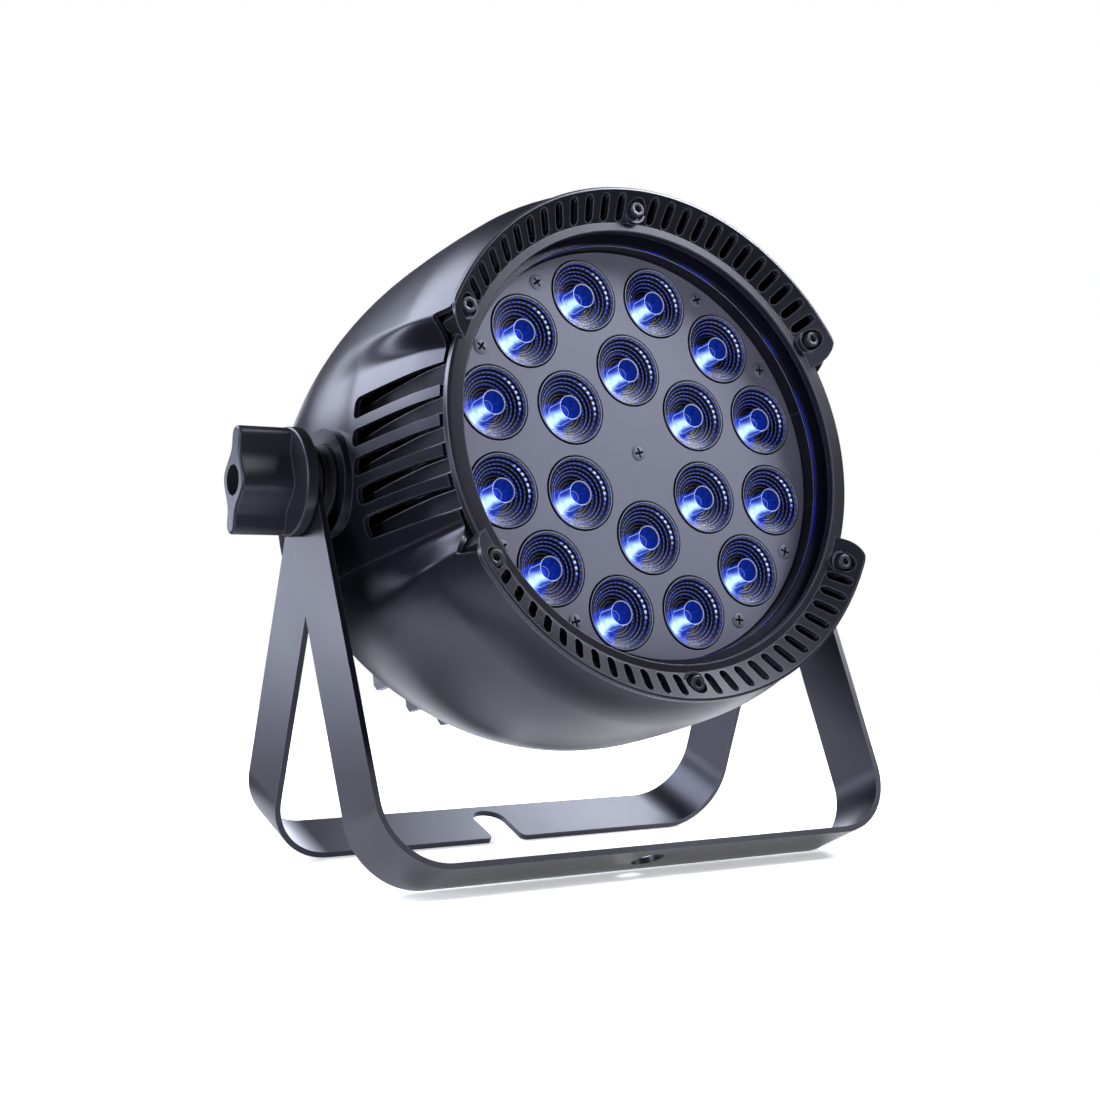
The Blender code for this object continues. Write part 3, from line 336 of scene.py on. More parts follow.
def combine(mesh, operation, others):
    obj = bpy.data.objects.new("base", mesh)
    tools = []
    for other in others:
        tool = bpy.data.objects.new("tool", other)
        bpy.context.scene.collection.objects.link(tool)
        tools.append(tool)
        modifier = obj.modifiers.new("boolean", "BOOLEAN")
        modifier.operation = operation
        modifier.solver = "EXACT"
        modifier.object = tool
    result = evaluated(obj)
    for tool in tools:
        bpy.data.objects.remove(tool, do_unlink=True)
    bm = bmesh.new()
    bm.from_mesh(result)
    bmesh.ops.remove_doubles(bm, verts=bm.verts, dist=0.000003)
    bmesh.ops.dissolve_degenerate(bm, dist=0.000003, edges=bm.edges)
    return mesh_from(bm)


def cut(mesh, *cutters):
    return combine(mesh, "DIFFERENCE", cutters)


def unite(mesh, *others):
    return combine(mesh, "UNION", others)


def rounded(mesh, width, segments=2, sharper_than=32):
    """Round the mesh's sharp edges."""
    obj = bpy.data.objects.new("rounded", mesh)
    bevel = obj.modifiers.new("bevel", "BEVEL")
    bevel.width = width
    bevel.segments = segments
    bevel.limit_method = "ANGLE"
    bevel.angle_limit = math.radians(sharper_than)
    bevel.miter_outer = "MITER_ARC"
    bevel.use_clamp_overlap = True
    return evaluated(obj)


def piece(name, mesh, material, body, nodes=(), axes=LAMP, sharp=38, own_axes=False):
    """Place a finished mesh, give it its material and let it ride its body.

    A piece whose material follows its own centre keeps its own axes.
    """
    obj = bpy.data.objects.new(name, mesh)
    bpy.context.scene.collection.objects.link(obj)
    if own_axes:
        obj.matrix_world = axes
    else:
        mesh.transform(axes)
    mesh.shade_smooth()
    mesh.set_sharp_from_angle(angle=math.radians(sharp))
    mesh.materials.clear()
    mesh.materials.append(material)
    level = obj.modifiers.new("level", "WEIGHTED_NORMAL")
    level.keep_sharp = True
    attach(obj, body)
    if nodes:
        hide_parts(*nodes)
    return obj


# ---------------------------------------------------------------- materials

def new_material(name):
    material = bpy.data.materials.new(name)
    material.use_nodes = True
    tree = material.node_tree
    return material, tree, tree.nodes["Principled BSDF"]


def calc(tree, operation, *inputs, clamp=False):
    """A math node. Its inputs are sockets or numbers."""
    node = tree.nodes.new("ShaderNodeMath")
    node.operation = operation
    node.use_clamp = clamp
    for socket, value in zip(node.inputs, inputs):
        if isinstance(value, (int, float)):
            socket.default_value = value
        else:
            tree.links.new(value, socket)
    return node.outputs[0]


def noise(tree, scale, detail=2.0, coordinates=None):
    if coordinates is None:
        coordinates = tree.nodes.new("ShaderNodeTexCoord").outputs["Object"]
    node = tree.nodes.new("ShaderNodeTexNoise")
    node.inputs["Scale"].default_value = scale
    node.inputs["Detail"].default_value = detail
    tree.links.new(coordinates, node.inputs["Vector"])
    return node.outputs["Fac"]


def spread(tree, value, low, high):
    """Map 0..1 onto low..high."""
    node = tree.nodes.new("ShaderNodeMapRange")
    node.inputs["To Min"].default_value = low
    node.inputs["To Max"].default_value = high
    tree.links.new(value, node.inputs["Value"])
    return node.outputs["Result"]


def blend_colours(tree, factor, first, second):
    node = tree.nodes.new("ShaderNodeMix")
    node.data_type = "RGBA"
    tree.links.new(factor, node.inputs["Factor"])
    for socket, value in ((node.inputs[6], first), (node.inputs[7], second)):
        if isinstance(value, tuple):
            socket.default_value = (*value, 1)
        else:
            tree.links.new(value, socket)
    return node.outputs[2]


# Painted highlight on edges: how far the bevel reaches and how strongly the paler edge colour takes over.
PAINTED_EDGE_RADIUS = 0.6 * MM
PAINTED_EDGE_GAIN = 14
RELIEF = 0.1 * MM
PANE_REFLECT = 0.06


def surface(name, colour, roughness, metallic=0.0, grain=1400, bump=0.12, uneven=0.25, gloss=0.5,
            painted_edge_highlight=None, coat=0.0, tint=(1, 1, 1)):
    """A painted, moulded or plated surface: mottled colour and roughness, fine grain, and edges made
    paler as a painted highlight.
    """
    material, tree, shader = new_material(name)
    links = tree.links
    broad = noise(tree, 22, 3)
    fine = noise(tree, grain, 2)
    darker = tuple(value * (1 - uneven) for value in colour)
    lighter = tuple(min(1, value * (1 + uneven)) for value in colour)
    mottled = blend_colours(tree, spread(tree, broad, -0.3, 1.3), darker, lighter)
    # Painted highlight: where the bevel normal turns away from the surface normal, the colour is mixed
    # towards a paler edge colour that stands in for thin bright edge highlights.
    if painted_edge_highlight:
        bevel = tree.nodes.new("ShaderNodeBevel")
        bevel.samples = 4
        bevel.inputs["Radius"].default_value = PAINTED_EDGE_RADIUS
        geometry = tree.nodes.new("ShaderNodeNewGeometry")
        turn = tree.nodes.new("ShaderNodeVectorMath")
        turn.operation = "DOT_PRODUCT"
        links.new(bevel.outputs[0], turn.inputs[0])
        links.new(geometry.outputs["Normal"], turn.inputs[1])
        away = calc(tree, "SUBTRACT", 1.0, turn.outputs["Value"])
        edge = calc(tree, "MULTIPLY", away, PAINTED_EDGE_GAIN, clamp=True)
        mottled = blend_colours(tree, edge, mottled, painted_edge_highlight)
    links.new(mottled, shader.inputs["Base Color"])
    rough = calc(tree, "ADD", spread(tree, broad, roughness - 0.05, roughness + 0.05),
                 spread(tree, fine, -0.03, 0.03))
    links.new(rough, shader.inputs["Roughness"])
    relief = tree.nodes.new("ShaderNodeBump")
    relief.inputs["Strength"].default_value = bump
    relief.inputs["Distance"].default_value = RELIEF
    links.new(fine, relief.inputs["Height"])
    links.new(relief.outputs[0], shader.inputs["Normal"])
    shader.inputs["Metallic"].default_value = metallic
    shader.inputs["Specular IOR Level"].default_value = gloss
    shader.inputs["Coat Weight"].default_value = coat
    shader.inputs["Coat Roughness"].default_value = 0.12
    shader.inputs["Specular Tint"].default_value = (*tint, 1)
    return material


def clear_pane(name, tint):
    """Thin clear glass: straight through, with a mirror reflection that grows at grazing angles."""
    material, tree, shader = new_material(name)
    through = tree.nodes.new("ShaderNodeBsdfTransparent")
    through.inputs["Color"].default_value = (*tint, 1)
    mirror = tree.nodes.new("ShaderNodeBsdfGlossy")
    links = tree.links
    links.new(spread(tree, noise(tree, 30, 2), 0.015, 0.04), mirror.inputs["Roughness"])
    facing = tree.nodes.new("ShaderNodeLayerWeight")
    facing.inputs["Blend"].default_value = PANE_REFLECT
    mix = tree.nodes.new("ShaderNodeMixShader")
    links.new(facing.outputs["Fresnel"], mix.inputs[0])
    links.new(through.outputs[0], mix.inputs[1])
    links.new(mirror.outputs[0], mix.inputs[2])
    links.new(mix.outputs[0], tree.nodes["Material Output"].inputs["Surface"])
    tree.nodes.remove(shader)
    return material


def bump_between(tree, value, low, high, soft):
    """1 where the value lies between low and high, with soft shoulders."""
    rise = tree.nodes.new("ShaderNodeMapRange")
    rise.interpolation_type = "SMOOTHSTEP"
    rise.inputs["From Min"].default_value = low - soft
    rise.inputs["From Max"].default_value = low + soft
    tree.links.new(value, rise.inputs["Value"])
    fall = tree.nodes.new("ShaderNodeMapRange")
    fall.interpolation_type = "SMOOTHSTEP"
    fall.inputs["From Min"].default_value = high - soft
    fall.inputs["From Max"].default_value = high + soft
    fall.inputs["To Min"].default_value = 1
    fall.inputs["To Max"].default_value = 0
    tree.links.new(value, fall.inputs["Value"])
    return calc(tree, "MULTIPLY", rise.outputs[0], fall.outputs[0])


def lens_plastic_with_painted_glow():
    """Clear collimator with painted light: a dark wall with painted highlights on its ridges and rim, a
    painted blue-white glow patch fixed to one side, painted ring highlights, a painted reflection of a
    deeper ring, and painted sparkles at the rim.

    All distances are in millimetres from the lens axis.
    """
    material, tree, shader = new_material("lens_clear")
    links = tree.links

    def times(*values):
        product = values[0]
        for value in values[1:]:
            product = calc(tree, "MULTIPLY", product, value)
        return product

    def plus(*values):
        total = values[0]
        for value in values[1:]:
            total = calc(tree, "ADD", total, value)
        return total

    def distance(x_value, y_value):
        return calc(tree, "SQRT", plus(times(x_value, x_value), times(y_value, y_value)))

    split = tree.nodes.new("ShaderNodeSeparateXYZ")
    links.new(tree.nodes.new("ShaderNodeTexCoord").outputs["Object"], split.inputs[0])
    x = times(split.outputs[0], 1 / MM)
    y = times(split.outputs[1], 1 / MM)
    radius = distance(x, y)
    angle = calc(tree, "ARCTAN2", y, x)
    cosine = math.cos(LENS_PAINTED_PATCH_ANGLE)
    sine = math.sin(LENS_PAINTED_PATCH_ANGLE)
    along = plus(times(x, cosine), times(y, sine))
    across = calc(tree, "ABSOLUTE", plus(times(x, -sine), times(y, cosine)))
    speckle = noise(tree, 900, 3)
    coarse = noise(tree, 260, 2)
    wall = bump_between(tree, radius, 5.9, 15.7, 0.15)
    width = plus(3.6, times(along, 0.24), times(coarse, 2.4))
    fan = calc(tree, "DIVIDE", across, width)
    # Painted glow: a fan-shaped blue patch with a whiter hot spot, on the same side of every lens.
    painted_patch_mask = times(bump_between(tree, along, 0.6, 40, 0.8), bump_between(tree, fan, -1, 1.02, 0.14))
    painted_hot_mask = times(painted_patch_mask, bump_between(tree, fan, -1, 0.42, 0.34), bump_between(tree, along, 4, 13.6, 2.6))
    inside = bump_between(tree, radius, -1, 15.4, 0.2)
    painted_patch_glow = times(painted_patch_mask, inside)
    heat = times(painted_hot_mask, inside, spread(tree, coarse, 0.7, 1.5))
    # Painted glow of the domed eye inside the core tube.
    core = bump_between(tree, radius, -1, 5.0, 0.2)
    # Painted highlights: a thin line on the core tube's edge, a painted reflection of a deeper ring set
    # off to one side, and a thin line round the rim.
    ring = bump_between(tree, radius, 5.1, 5.5, 0.1)
    second = bump_between(tree, distance(plus(x, 3.3), plus(y, 2.2)), 4.5, 4.8, 0.1)
    rim = bump_between(tree, radius, 15.75, 16.15, 0.12)
    # Painted highlight on the ridges of the stepped wall.
    painted_ridge_highlight = spread(tree, calc(tree, "SINE", times(radius, math.tau / LENS_RIDGE_PITCH_MM)), -0.5, 1.5)
    painted_ridge_highlight = times(calc(tree, "MAXIMUM", painted_ridge_highlight, 0.0), wall)
    facets = calc(tree, "SINE", times(angle, LENS_FACETS))
    offset_facets = calc(tree, "SINE", plus(times(angle, LENS_FACETS), times(radius, 2.6)))
    # Painted sparkles on the ridges and painted glint dashes near the rim.
    painted_sparkles = times(calc(tree, "GREATER_THAN", plus(offset_facets, times(speckle, 2.2)), 1.72),
                 calc(tree, "GREATER_THAN", painted_ridge_highlight, 0.55), bump_between(tree, radius, 8.6, 15.4, 1.2))
    painted_glint_dashes = times(calc(tree, "GREATER_THAN", plus(facets, times(speckle, 1.6)), 0.85),
                   bump_between(tree, radius, 13.7, 14.35, 0.15),
                   bump_between(tree, angle, math.radians(-8), math.radians(58), 0.2))
    # Painted glow: its colours and its strength.
    blue = (0.012, 0.07, 0.95)
    glow = blend_colours(tree, heat, blue, (0.46, 0.68, 1.0))
    glow = blend_colours(tree, plus(painted_glint_dashes, ring, second), glow, (0.55, 0.66, 0.95))
    links.new(glow, shader.inputs["Emission Color"])
    strength = plus(times(painted_patch_glow, spread(tree, coarse, 0.1, 0.8)), times(heat, 1.15),
                    times(core, spread(tree, speckle, -0.1, 0.7)), times(ring, 0.24), times(second, 0.26),
                    times(painted_sparkles, 0.95), times(painted_glint_dashes, 0.9))
    links.new(strength, shader.inputs["Emission Strength"])
    # Base colour: near-black plastic, with painted highlights on the ridges, the rim and the core tube's
    # edge.
    grey = plus(0.006, times(painted_ridge_highlight, 0.062), times(rim, 0.22), times(ring, 0.25))
    base = tree.nodes.new("ShaderNodeCombineColor")
    links.new(grey, base.inputs[0])
    links.new(times(grey, 1.02), base.inputs[1])
    links.new(times(grey, 1.25), base.inputs[2])
    links.new(base.outputs[0], shader.inputs["Base Color"])
    links.new(spread(tree, speckle, 0.25, 0.45), shader.inputs["Roughness"])
    shader.inputs["Specular IOR Level"].default_value = 0.3
    return material


COOL = (0.80, 0.82, 1.0)
GLINT_FROM_MM = 8.1
GLINT_TO_MM = 8.5
GLINT_STRENGTH = 0.7


def add_glint(material):
    """Blue light from the lenses, caught in thin broken streaks round the seal.

    The streaks lie between two levels ahead of the lens plate.
    """
    tree = material.node_tree
    shader = tree.nodes["Principled BSDF"]
    forward = tree.nodes.new("ShaderNodeVectorMath")
    forward.operation = "DOT_PRODUCT"
    tree.links.new(tree.nodes.new("ShaderNodeTexCoord").outputs["Object"], forward.inputs[0])
    forward.inputs[1].default_value = LAMP.col[2].xyz
    level = LAMP.translation.dot(LAMP.col[2].xyz)
    ahead = calc(tree, "MULTIPLY", calc(tree, "SUBTRACT", forward.outputs["Value"], level), 1 / MM)
    streak = calc(tree, "MULTIPLY", bump_between(tree, ahead, GLINT_FROM_MM, GLINT_TO_MM, 0.25),
                  bump_between(tree, noise(tree, 45, 2), 0.5, 2, 0.05))
    shader.inputs["Emission Color"].default_value = (0.01, 0.03, 1.0, 1)
    tree.links.new(calc(tree, "MULTIPLY", streak, GLINT_STRENGTH), shader.inputs["Emission Strength"])


# The paler edge colours given to these surfaces are painted highlights on their edges.
BRACKET_PAINT = surface("bracket_paint", (0.005, 0.005, 0.008), 0.38, bump=0.12,
                        painted_edge_highlight=(0.05, 0.05, 0.06), tint=COOL)
SHELL_PAINT = surface("shell_paint", (0.004, 0.004, 0.007), 0.34, bump=0.06,
                      painted_edge_highlight=(0.05, 0.05, 0.06), tint=COOL)
BEZEL_PAINT = surface("bezel_paint", (0.008, 0.008, 0.011), 0.30, bump=0.07,
                      painted_edge_highlight=(0.10, 0.10, 0.13), tint=COOL)
CORE_PAINT = surface("core_paint", (0.007, 0.007, 0.010), 0.32, bump=0.08,
                     painted_edge_highlight=(0.42, 0.42, 0.50), tint=COOL)
BOLT_STEEL = surface("bolt_steel", (0.018, 0.018, 0.022), 0.36, metallic=0.3, grain=2500, bump=0.06,
                     painted_edge_highlight=(0.09, 0.09, 0.11), tint=COOL)
PLAIN_STEEL = surface("plain_steel", (0.48, 0.48, 0.50), 0.30, metallic=1.0, grain=1800, bump=0.06)
WASHER_PLASTIC = surface("washer_plastic", (0.016, 0.016, 0.018), 0.55, bump=0.2)
KNOB_PLASTIC = surface("knob_plastic", (0.013, 0.013, 0.017), 0.38, grain=1800, bump=0.14,
                       painted_edge_highlight=(0.09, 0.09, 0.11), tint=COOL)
GASKET_RUBBER = surface("gasket_rubber", (0.006, 0.006, 0.012), 0.35, bump=0.08)
# Painted shade for the bottoms of the screws' cross recesses.
PAINTED_RECESS_SHADE = surface("painted_recess_shade", (0.002, 0.002, 0.003), 0.9, bump=0.05, gloss=0.1)
add_glint(GASKET_RUBBER)
PLATE_GREY = surface("plate_grey", (0.125, 0.125, 0.147), 0.55, grain=2200, bump=0.12, uneven=0.08)
CIRCUIT_BOARD = surface("circuit_board", (0.03, 0.13, 0.06), 0.40, grain=600, uneven=0.4)
PANEL_PLASTIC = surface("panel_plastic", (0.014, 0.014, 0.016), 0.50, grain=1600, bump=0.2)
DISPLAY_WINDOW = surface("display_window", (0.006, 0.018, 0.012), 0.08, grain=90, bump=0.01, coat=0.6)
SUPPLY_METAL = surface("supply_metal", (0.55, 0.56, 0.57), 0.35, metallic=1.0, grain=900)
SOCKET_BLUE = surface("socket_blue", (0.010, 0.045, 0.22), 0.34, grain=1500, bump=0.08, uneven=0.12)
SOCKET_GREY = surface("socket_grey", (0.20, 0.20, 0.21), 0.36, grain=1500, bump=0.08, uneven=0.08)
BUTTON_RUBBER = surface("button_rubber", (0.022, 0.022, 0.024), 0.60, bump=0.25)
FRONT_GLASS = clear_pane("front_glass", (0.93, 0.94, 0.98))
# The lens material, carrying the painted glow and painted highlights.
LENS_CLEAR_PAINTED_GLOW = lens_plastic_with_painted_glow()


# ---------------------------------------------------------------- yokes, washers and knobs

def yoke(name, axes, material, cutter):
    """A bent flat bar: rounded leg ends, a stud hole in each leg, softened edges."""
    low, high = extent(name, axes)
    half_span = high.x
    drop = -low.z
    width = high.y - low.y
    out = half_span - BAR_THICK / 2
    bottom = -drop + BAR_THICK / 2
    bend = BEND_RADIUS - BAR_THICK / 2
    path = [(-out, 0)] + arc((-out + bend, bottom + bend), bend, 180, 270, 28)
    path += arc((out - bend, bottom + bend), bend, 270, 360, 28) + [(out, 0)]
    bm = bmesh.new()
    rows = [[bm.verts.new((x, side * width / 2, z)) for x, z in path] for side in (-1, 1)]
    for index in range(len(path) - 1):
        bm.faces.new((rows[0][index], rows[0][index + 1], rows[1][index + 1], rows[1][index]))
    obj = bpy.data.objects.new("bar", mesh_from(bm))
    solidify = obj.modifiers.new("thickness", "SOLIDIFY")
    solidify.thickness = BAR_THICK
    solidify.offset = 0
    solidify.use_even_offset = True
    mesh = evaluated(obj)
    ends = []
    holes = []
    for side in (-1, 1):
        ends.append(rod((side * (half_span - BAR_THICK), 0, 0), (side * half_span, 0, 0), width / 2, 96))
        holes.append(rod((side * (half_span - 9 * MM), 0, 0), (side * (half_span + 6 * MM), 0, 0),
                         STUD_HOLE_R, 48))
    mesh = cut(unite(mesh, *ends), *holes, cutter(drop, width))
    piece(name, rounded(mesh, 0.45 * MM, 3), material, name, [name], axes)


def clamp_hole(drop, width):
    return rod((0, 0, -drop - 5 * MM), (0, 0, -drop + 9 * MM), CLAMP_HOLE_R, 64)


def clamp_notch(drop, width):
    """A U-shaped notch from the bar's front edge, with a rounded mouth."""
    corner = NOTCH_CORNER
    edge = -width / 2
    mouth = NOTCH_HALF_WIDTH + corner
    points = arc((0, NOTCH_CENTRE), NOTCH_HALF_WIDTH, 0, 180, 32)
    points += arc((-mouth, edge + corner), corner, 0, -90, 8)
    points += [(-mouth, edge - corner), (mouth, edge - corner)]
    points += arc((mouth, edge + corner), corner, 270, 180, 8)
    return prism(points, -drop - 5 * MM, -drop + 9 * MM)


def knob_outline():
    """A bar with a round hub: half widths follow a cosine bump, ends are rounded."""
    side = []
    steps = 48
    reach = KNOB_HALF_SPAN - KNOB_ARM
    for index in range(steps + 1):
        along = reach * (1 - 2 * index / steps)
        swell = 0.5 + 0.5 * math.cos(math.pi * min(abs(along) / (KNOB_SWELL * reach), 1))
        side.append((KNOB_ARM + (KNOB_HUB - KNOB_ARM) * swell, along))
    other = [(-half, -along) for half, along in side]
    bottom = arc((0, -reach), KNOB_ARM, 0, -180, 16)[1:-1]
    top = arc((0, reach), KNOB_ARM, 180, 0, 16)[1:-1]
    return side + bottom + other + top


def knob(side_name, side):
    name = f"knob_{side_name}"
    low, high = extent(name, HEAD_AXES)
    start = min(abs(low.x), abs(high.x))
    end = max(abs(low.x), abs(high.x))
    upright = Matrix(((0, 0, side, 0), (side, 0, 0, 0), (0, 1, 0, 0), (0, 0, 0, 1)))
    grip = prism(knob_outline(), start + KNOB_FOOT - 1 * MM, end, upright)
    grip = rounded(grip, 1.3 * MM, 4, 50)
    foot = rod((side * start, 0, 0), (side * (start + KNOB_FOOT), 0, 0), KNOB_FOOT_R, 128)
    foot = rounded(foot, 0.9 * MM, 4)
    recess = rod((side * (end - 9 * MM), 0, 0), (side * (end + 5 * MM), 0, 0), KNOB_HOLE_R, 64)
    bore = rod((side * (start - 5 * MM), 0, 0), (side * (end - 5 * MM), 0, 0), STUD_HOLE_R, 48)
    mesh = cut(unite(foot, grip), recess, bore)
    place = Matrix.Translation(PIVOT) @ Matrix.Rotation(KNOB_TURNS[side_name], 4, "X")
    piece(name, rounded(mesh, 0.35 * MM, 2, 60), KNOB_PLASTIC, name, [name], place)


def washer(name):
    low, high = extent(name, HEAD_AXES)
    profile = [(high.y, high.x), (high.y, low.x), (STUD_HOLE_R, low.x), (STUD_HOLE_R, high.x)]
    mesh = moved(turned(profile, 72), Matrix.Rotation(math.pi / 2, 4, "Y"))
    piece(name, rounded(mesh, 0.4 * MM), WASHER_PLASTIC, "head", [name], HEAD_AXES)


# ---------------------------------------------------------------- bezel

def flange_height(radius):
    slope = (FLANGE_FRONT - BEZEL_FRONT) / (FLANGE_SLOPE_OUT_R - FLANGE_SLOPE_IN_R)
    return BEZEL_FRONT + slope * (radius - FLANGE_SLOPE_IN_R)


def flange_outline(inset):
    """Plan of one vented flange: a sector whose ends are rounded about the outer bolts."""
    turn = FLANGE_R - FLANGE_END_R - inset
    inward = 12 * MM
    first = FLANGE_END_ANGLE
    last = 180 - FLANGE_END_ANGLE
    right = at_angle(FLANGE_END_R, first)
    left = at_angle(FLANGE_END_R, last)
    right_foot = right + at_angle(turn, first - 90) - at_angle(inward, first)
    left_foot = left + at_angle(turn, last + 90) - at_angle(inward, last)
    outline = arc((0, 0), FLANGE_R - inset, first, last, 80)
    outline += arc(left, turn, last, last + 90, 16)[1:]
    outline += [left_foot[:2]]
    outline += arc((0, 0), FLANGE_END_R - inward, last, first, 40)
    outline += [right_foot[:2]]
    outline += arc(right, turn, first - 90, first, 16)[:-1]
    return outline


def vent_cutter(angle):
    reach = VENT_OUT_R - VENT_HALF_WIDTH
    near = VENT_IN_R + VENT_HALF_WIDTH
    outline = arc((reach, 0), VENT_HALF_WIDTH, -90, 90, 10)
    outline += arc((near, 0), VENT_HALF_WIDTH, 90, 270, 10)
    return prism(outline, 8 * MM, 32 * MM, Matrix.Rotation(math.radians(angle), 4, "Z"))


def vent_angles():
    for first in (30, 90, -90, -150):
        for index in range(1, VENT_COUNT + 1):
            yield first + 60 * index / (VENT_COUNT + 1)


BOLT_NODES = [name for name in NODES if name.startswith("bezel_bolt_")]


def bolt_places():
    """Bolt centres on the lamp's face, from the CAD bolts."""
    for name in sorted(BOLT_NODES):
        centre = centre_of(name, LAMP)
        yield name, Vector((centre.x, centre.y, 0))


def front_bezel():
    rim = [(BEZEL_IN_R, BEZEL_FRONT - 0.4 * MM), (BEZEL_IN_R + 0.4 * MM, BEZEL_FRONT),
           (104.3 * MM, BEZEL_FRONT), (105.2 * MM, 16.7 * MM), (105.8 * MM, 16.1 * MM),
           (BEZEL_RIM_R, 15.3 * MM), (BEZEL_RIM_R, BEZEL_BACK), (BEZEL_IN_R, BEZEL_BACK)]
    mesh = turned(rim, 240)
    foot = BEZEL_BACK + 0.3 * MM
    outer = [(FLANGE_IN_R, foot), (FLANGE_R, foot), (FLANGE_R, 24.9 * MM), (115.3 * MM, 25.5 * MM),
             (114.8 * MM, 25.8 * MM), (114.2 * MM, flange_height(114.2 * MM)),
             (FLANGE_IN_R, flange_height(FLANGE_IN_R))]
    below = 5 * MM
    wall = FLANGE_R - FLANGE_WALL
    pocket = [(FLANGE_POCKET_R, below), (wall, below), (wall, flange_height(wall) - FLANGE_SKIN),
              (FLANGE_POCKET_R, flange_height(FLANGE_POCKET_R) - FLANGE_SKIN)]
    beyond = FLANGE_R + 3 * MM
    room_top = -SHELL_FRONT + 0.4 * MM
    shell_room = [(SHELL_ROOM_R, below), (beyond, below), (beyond, room_top), (SHELL_ROOM_R, room_top)]
    for turn in (0, math.pi):
        place = Matrix.Rotation(turn, 4, "Z")
        flange = combine(turned(outer, 240), "INTERSECT", [prism(flange_outline(0), 0, 40 * MM, place)])
        hollow = combine(turned(pocket, 240), "INTERSECT",
                         [prism(flange_outline(FLANGE_WALL), 0, 40 * MM, place)])
        mesh = unite(mesh, cut(flange, hollow, turned(shell_room, 240)))
    posts = []
    counterbores = []
    clearances = []
    for _, centre in bolt_places():
        low = Vector((0, 0, BEZEL_BACK))
        posts.append(rod(centre + low, centre + Vector((0, 0, BOLT_POST_TOP)), BOLT_POST_R, 40))
        high = centre + Vector((0, 0, 34 * MM))
        counterbores.append(rod(centre + Vector((0, 0, COUNTERBORE_FLOOR)), high, COUNTERBORE_R, 40))
        clearances.append(rod(centre + Vector((0, 0, 2 * MM)), high, BOLT_HOLE_R, 24))
    mesh = unite(mesh, joined(posts))
    mesh = cut(mesh, joined([vent_cutter(angle) for angle in vent_angles()]))
    mesh = cut(mesh, joined(counterbores), joined(clearances))
    mesh = rounded(mesh, 0.3 * MM, 2, 30)
    piece("front_bezel", mesh, BEZEL_PAINT, "head", ["front_bezel"])


def bezel_bolts():
    floor = COUNTERBORE_FLOOR + GAP
    profile = [(0, floor + 4 * MM), (3.1 * MM, floor + 4 * MM), (3.5 * MM, floor + 3.7 * MM),
               (3.6 * MM, floor + 3.3 * MM), (3.6 * MM, floor), (1.9 * MM, floor), (1.9 * MM, 3 * MM),
               (0, 3 * MM)]
    for name, centre in bolt_places():
        socket = rod((0, 0, floor + 1.6 * MM), (0, 0, floor + 6 * MM), BOLT_SOCKET_R, 6)
        mesh = rounded(cut(turned(profile, 48), socket), 0.15 * MM)
        piece(name, mesh, BOLT_STEEL, "head", [name], LAMP @ Matrix.Translation(centre))


def glass_and_gasket():
    low, high = extent("front_glass", LAMP)
    radius = high.x
    mesh = rounded(rod((0, 0, low.z), (0, 0, high.z), radius, 192), 0.4 * MM)
    pane = piece("front_glass", mesh, FRONT_GLASS, "head", ["front_glass"])
    pane.visible_diffuse = False
    profile = [(radius, GLASS_BACK - GAP), (radius, SEAT + GAP), (GASKET_IN_R, SEAT + GAP),
               (GASKET_IN_R - 0.3 * MM, SEAT + 1.6 * MM), (GASKET_IN_R, GLASS_BACK - GAP)]
    piece("glass_gasket", turned(profile, 192), GASKET_RUBBER, "head", ["glass_gasket"])


# ---------------------------------------------------------------- optics

LENS_NODES = sorted(name for name in NODES if name.startswith("lens_") and name != "lens_plate")


def lens_profile():
    """Stepped reflector wall, a core tube that stands level with the rim, and a domed eye in it."""
    points = [(0, -3.6 * MM), (1.6 * MM, -3.9 * MM), (2.7 * MM, -4.8 * MM), (3.0 * MM, -6.0 * MM),
              (4.9 * MM, -6.2 * MM), (5.0 * MM, -0.3 * MM), (5.3 * MM, 0.1 * MM), (5.7 * MM, 0.1 * MM),
              (5.9 * MM, -0.3 * MM), (6.0 * MM, -6.6 * MM)]
    for step in range(LENS_STEPS):
        near = 6.4 + 9.0 * step / LENS_STEPS
        level = -6.4 + 5.8 * (step / LENS_STEPS) ** 1.3
        points.append((near * MM, level * MM))
        points.append(((near + 0.75) * MM, (level + 0.15) * MM))
        points.append(((near + 0.95) * MM, (level + 0.75) * MM))
    points += [(15.7 * MM, 0), (15.9 * MM, 0.3 * MM), (16.3 * MM, 0.3 * MM), (LENS_R, 0),
               (LENS_R, -2 * MM), (5.6 * MM, -LENS_DEPTH), (0, -LENS_DEPTH)]
    return points


def lenses():
    mesh = turned(lens_profile(), 72)
    for name in LENS_NODES:
        centre = centre_of(name, LAMP)
        place = LAMP @ Matrix.Translation((centre.x, centre.y, 0))
        piece(name, mesh.copy(), LENS_CLEAR_PAINTED_GLOW, "head", [name], place, 50, True)


def cross_bars(height, thick):
    """The two bars of a cross recess, centred at the given height."""
    return [block((0, 0, height), size) for size in
            ((CROSS_LENGTH, CROSS_WIDTH, thick), (CROSS_WIDTH, CROSS_LENGTH, thick))]


def screw_mesh():
    """A low pan-head screw with a cross recess."""
    profile = [(0, 0.75 * MM), (1.6 * MM, 0.72 * MM), (2.9 * MM, 0.55 * MM), (3.4 * MM, 0.15 * MM),
               (1.8 * MM, 0.1 * MM), (1.8 * MM, -2 * MM), (0, -2 * MM)]
    return rounded(cut(turned(profile, 40), *cross_bars(0.9 * MM, 1.2 * MM)), 0.05 * MM)


def recess_shade_mesh():
    """Painted shade: a dark filling at the bottom of a cross recess, where shade falls."""
    return unite(*cross_bars(0.35 * MM, 0.3 * MM))


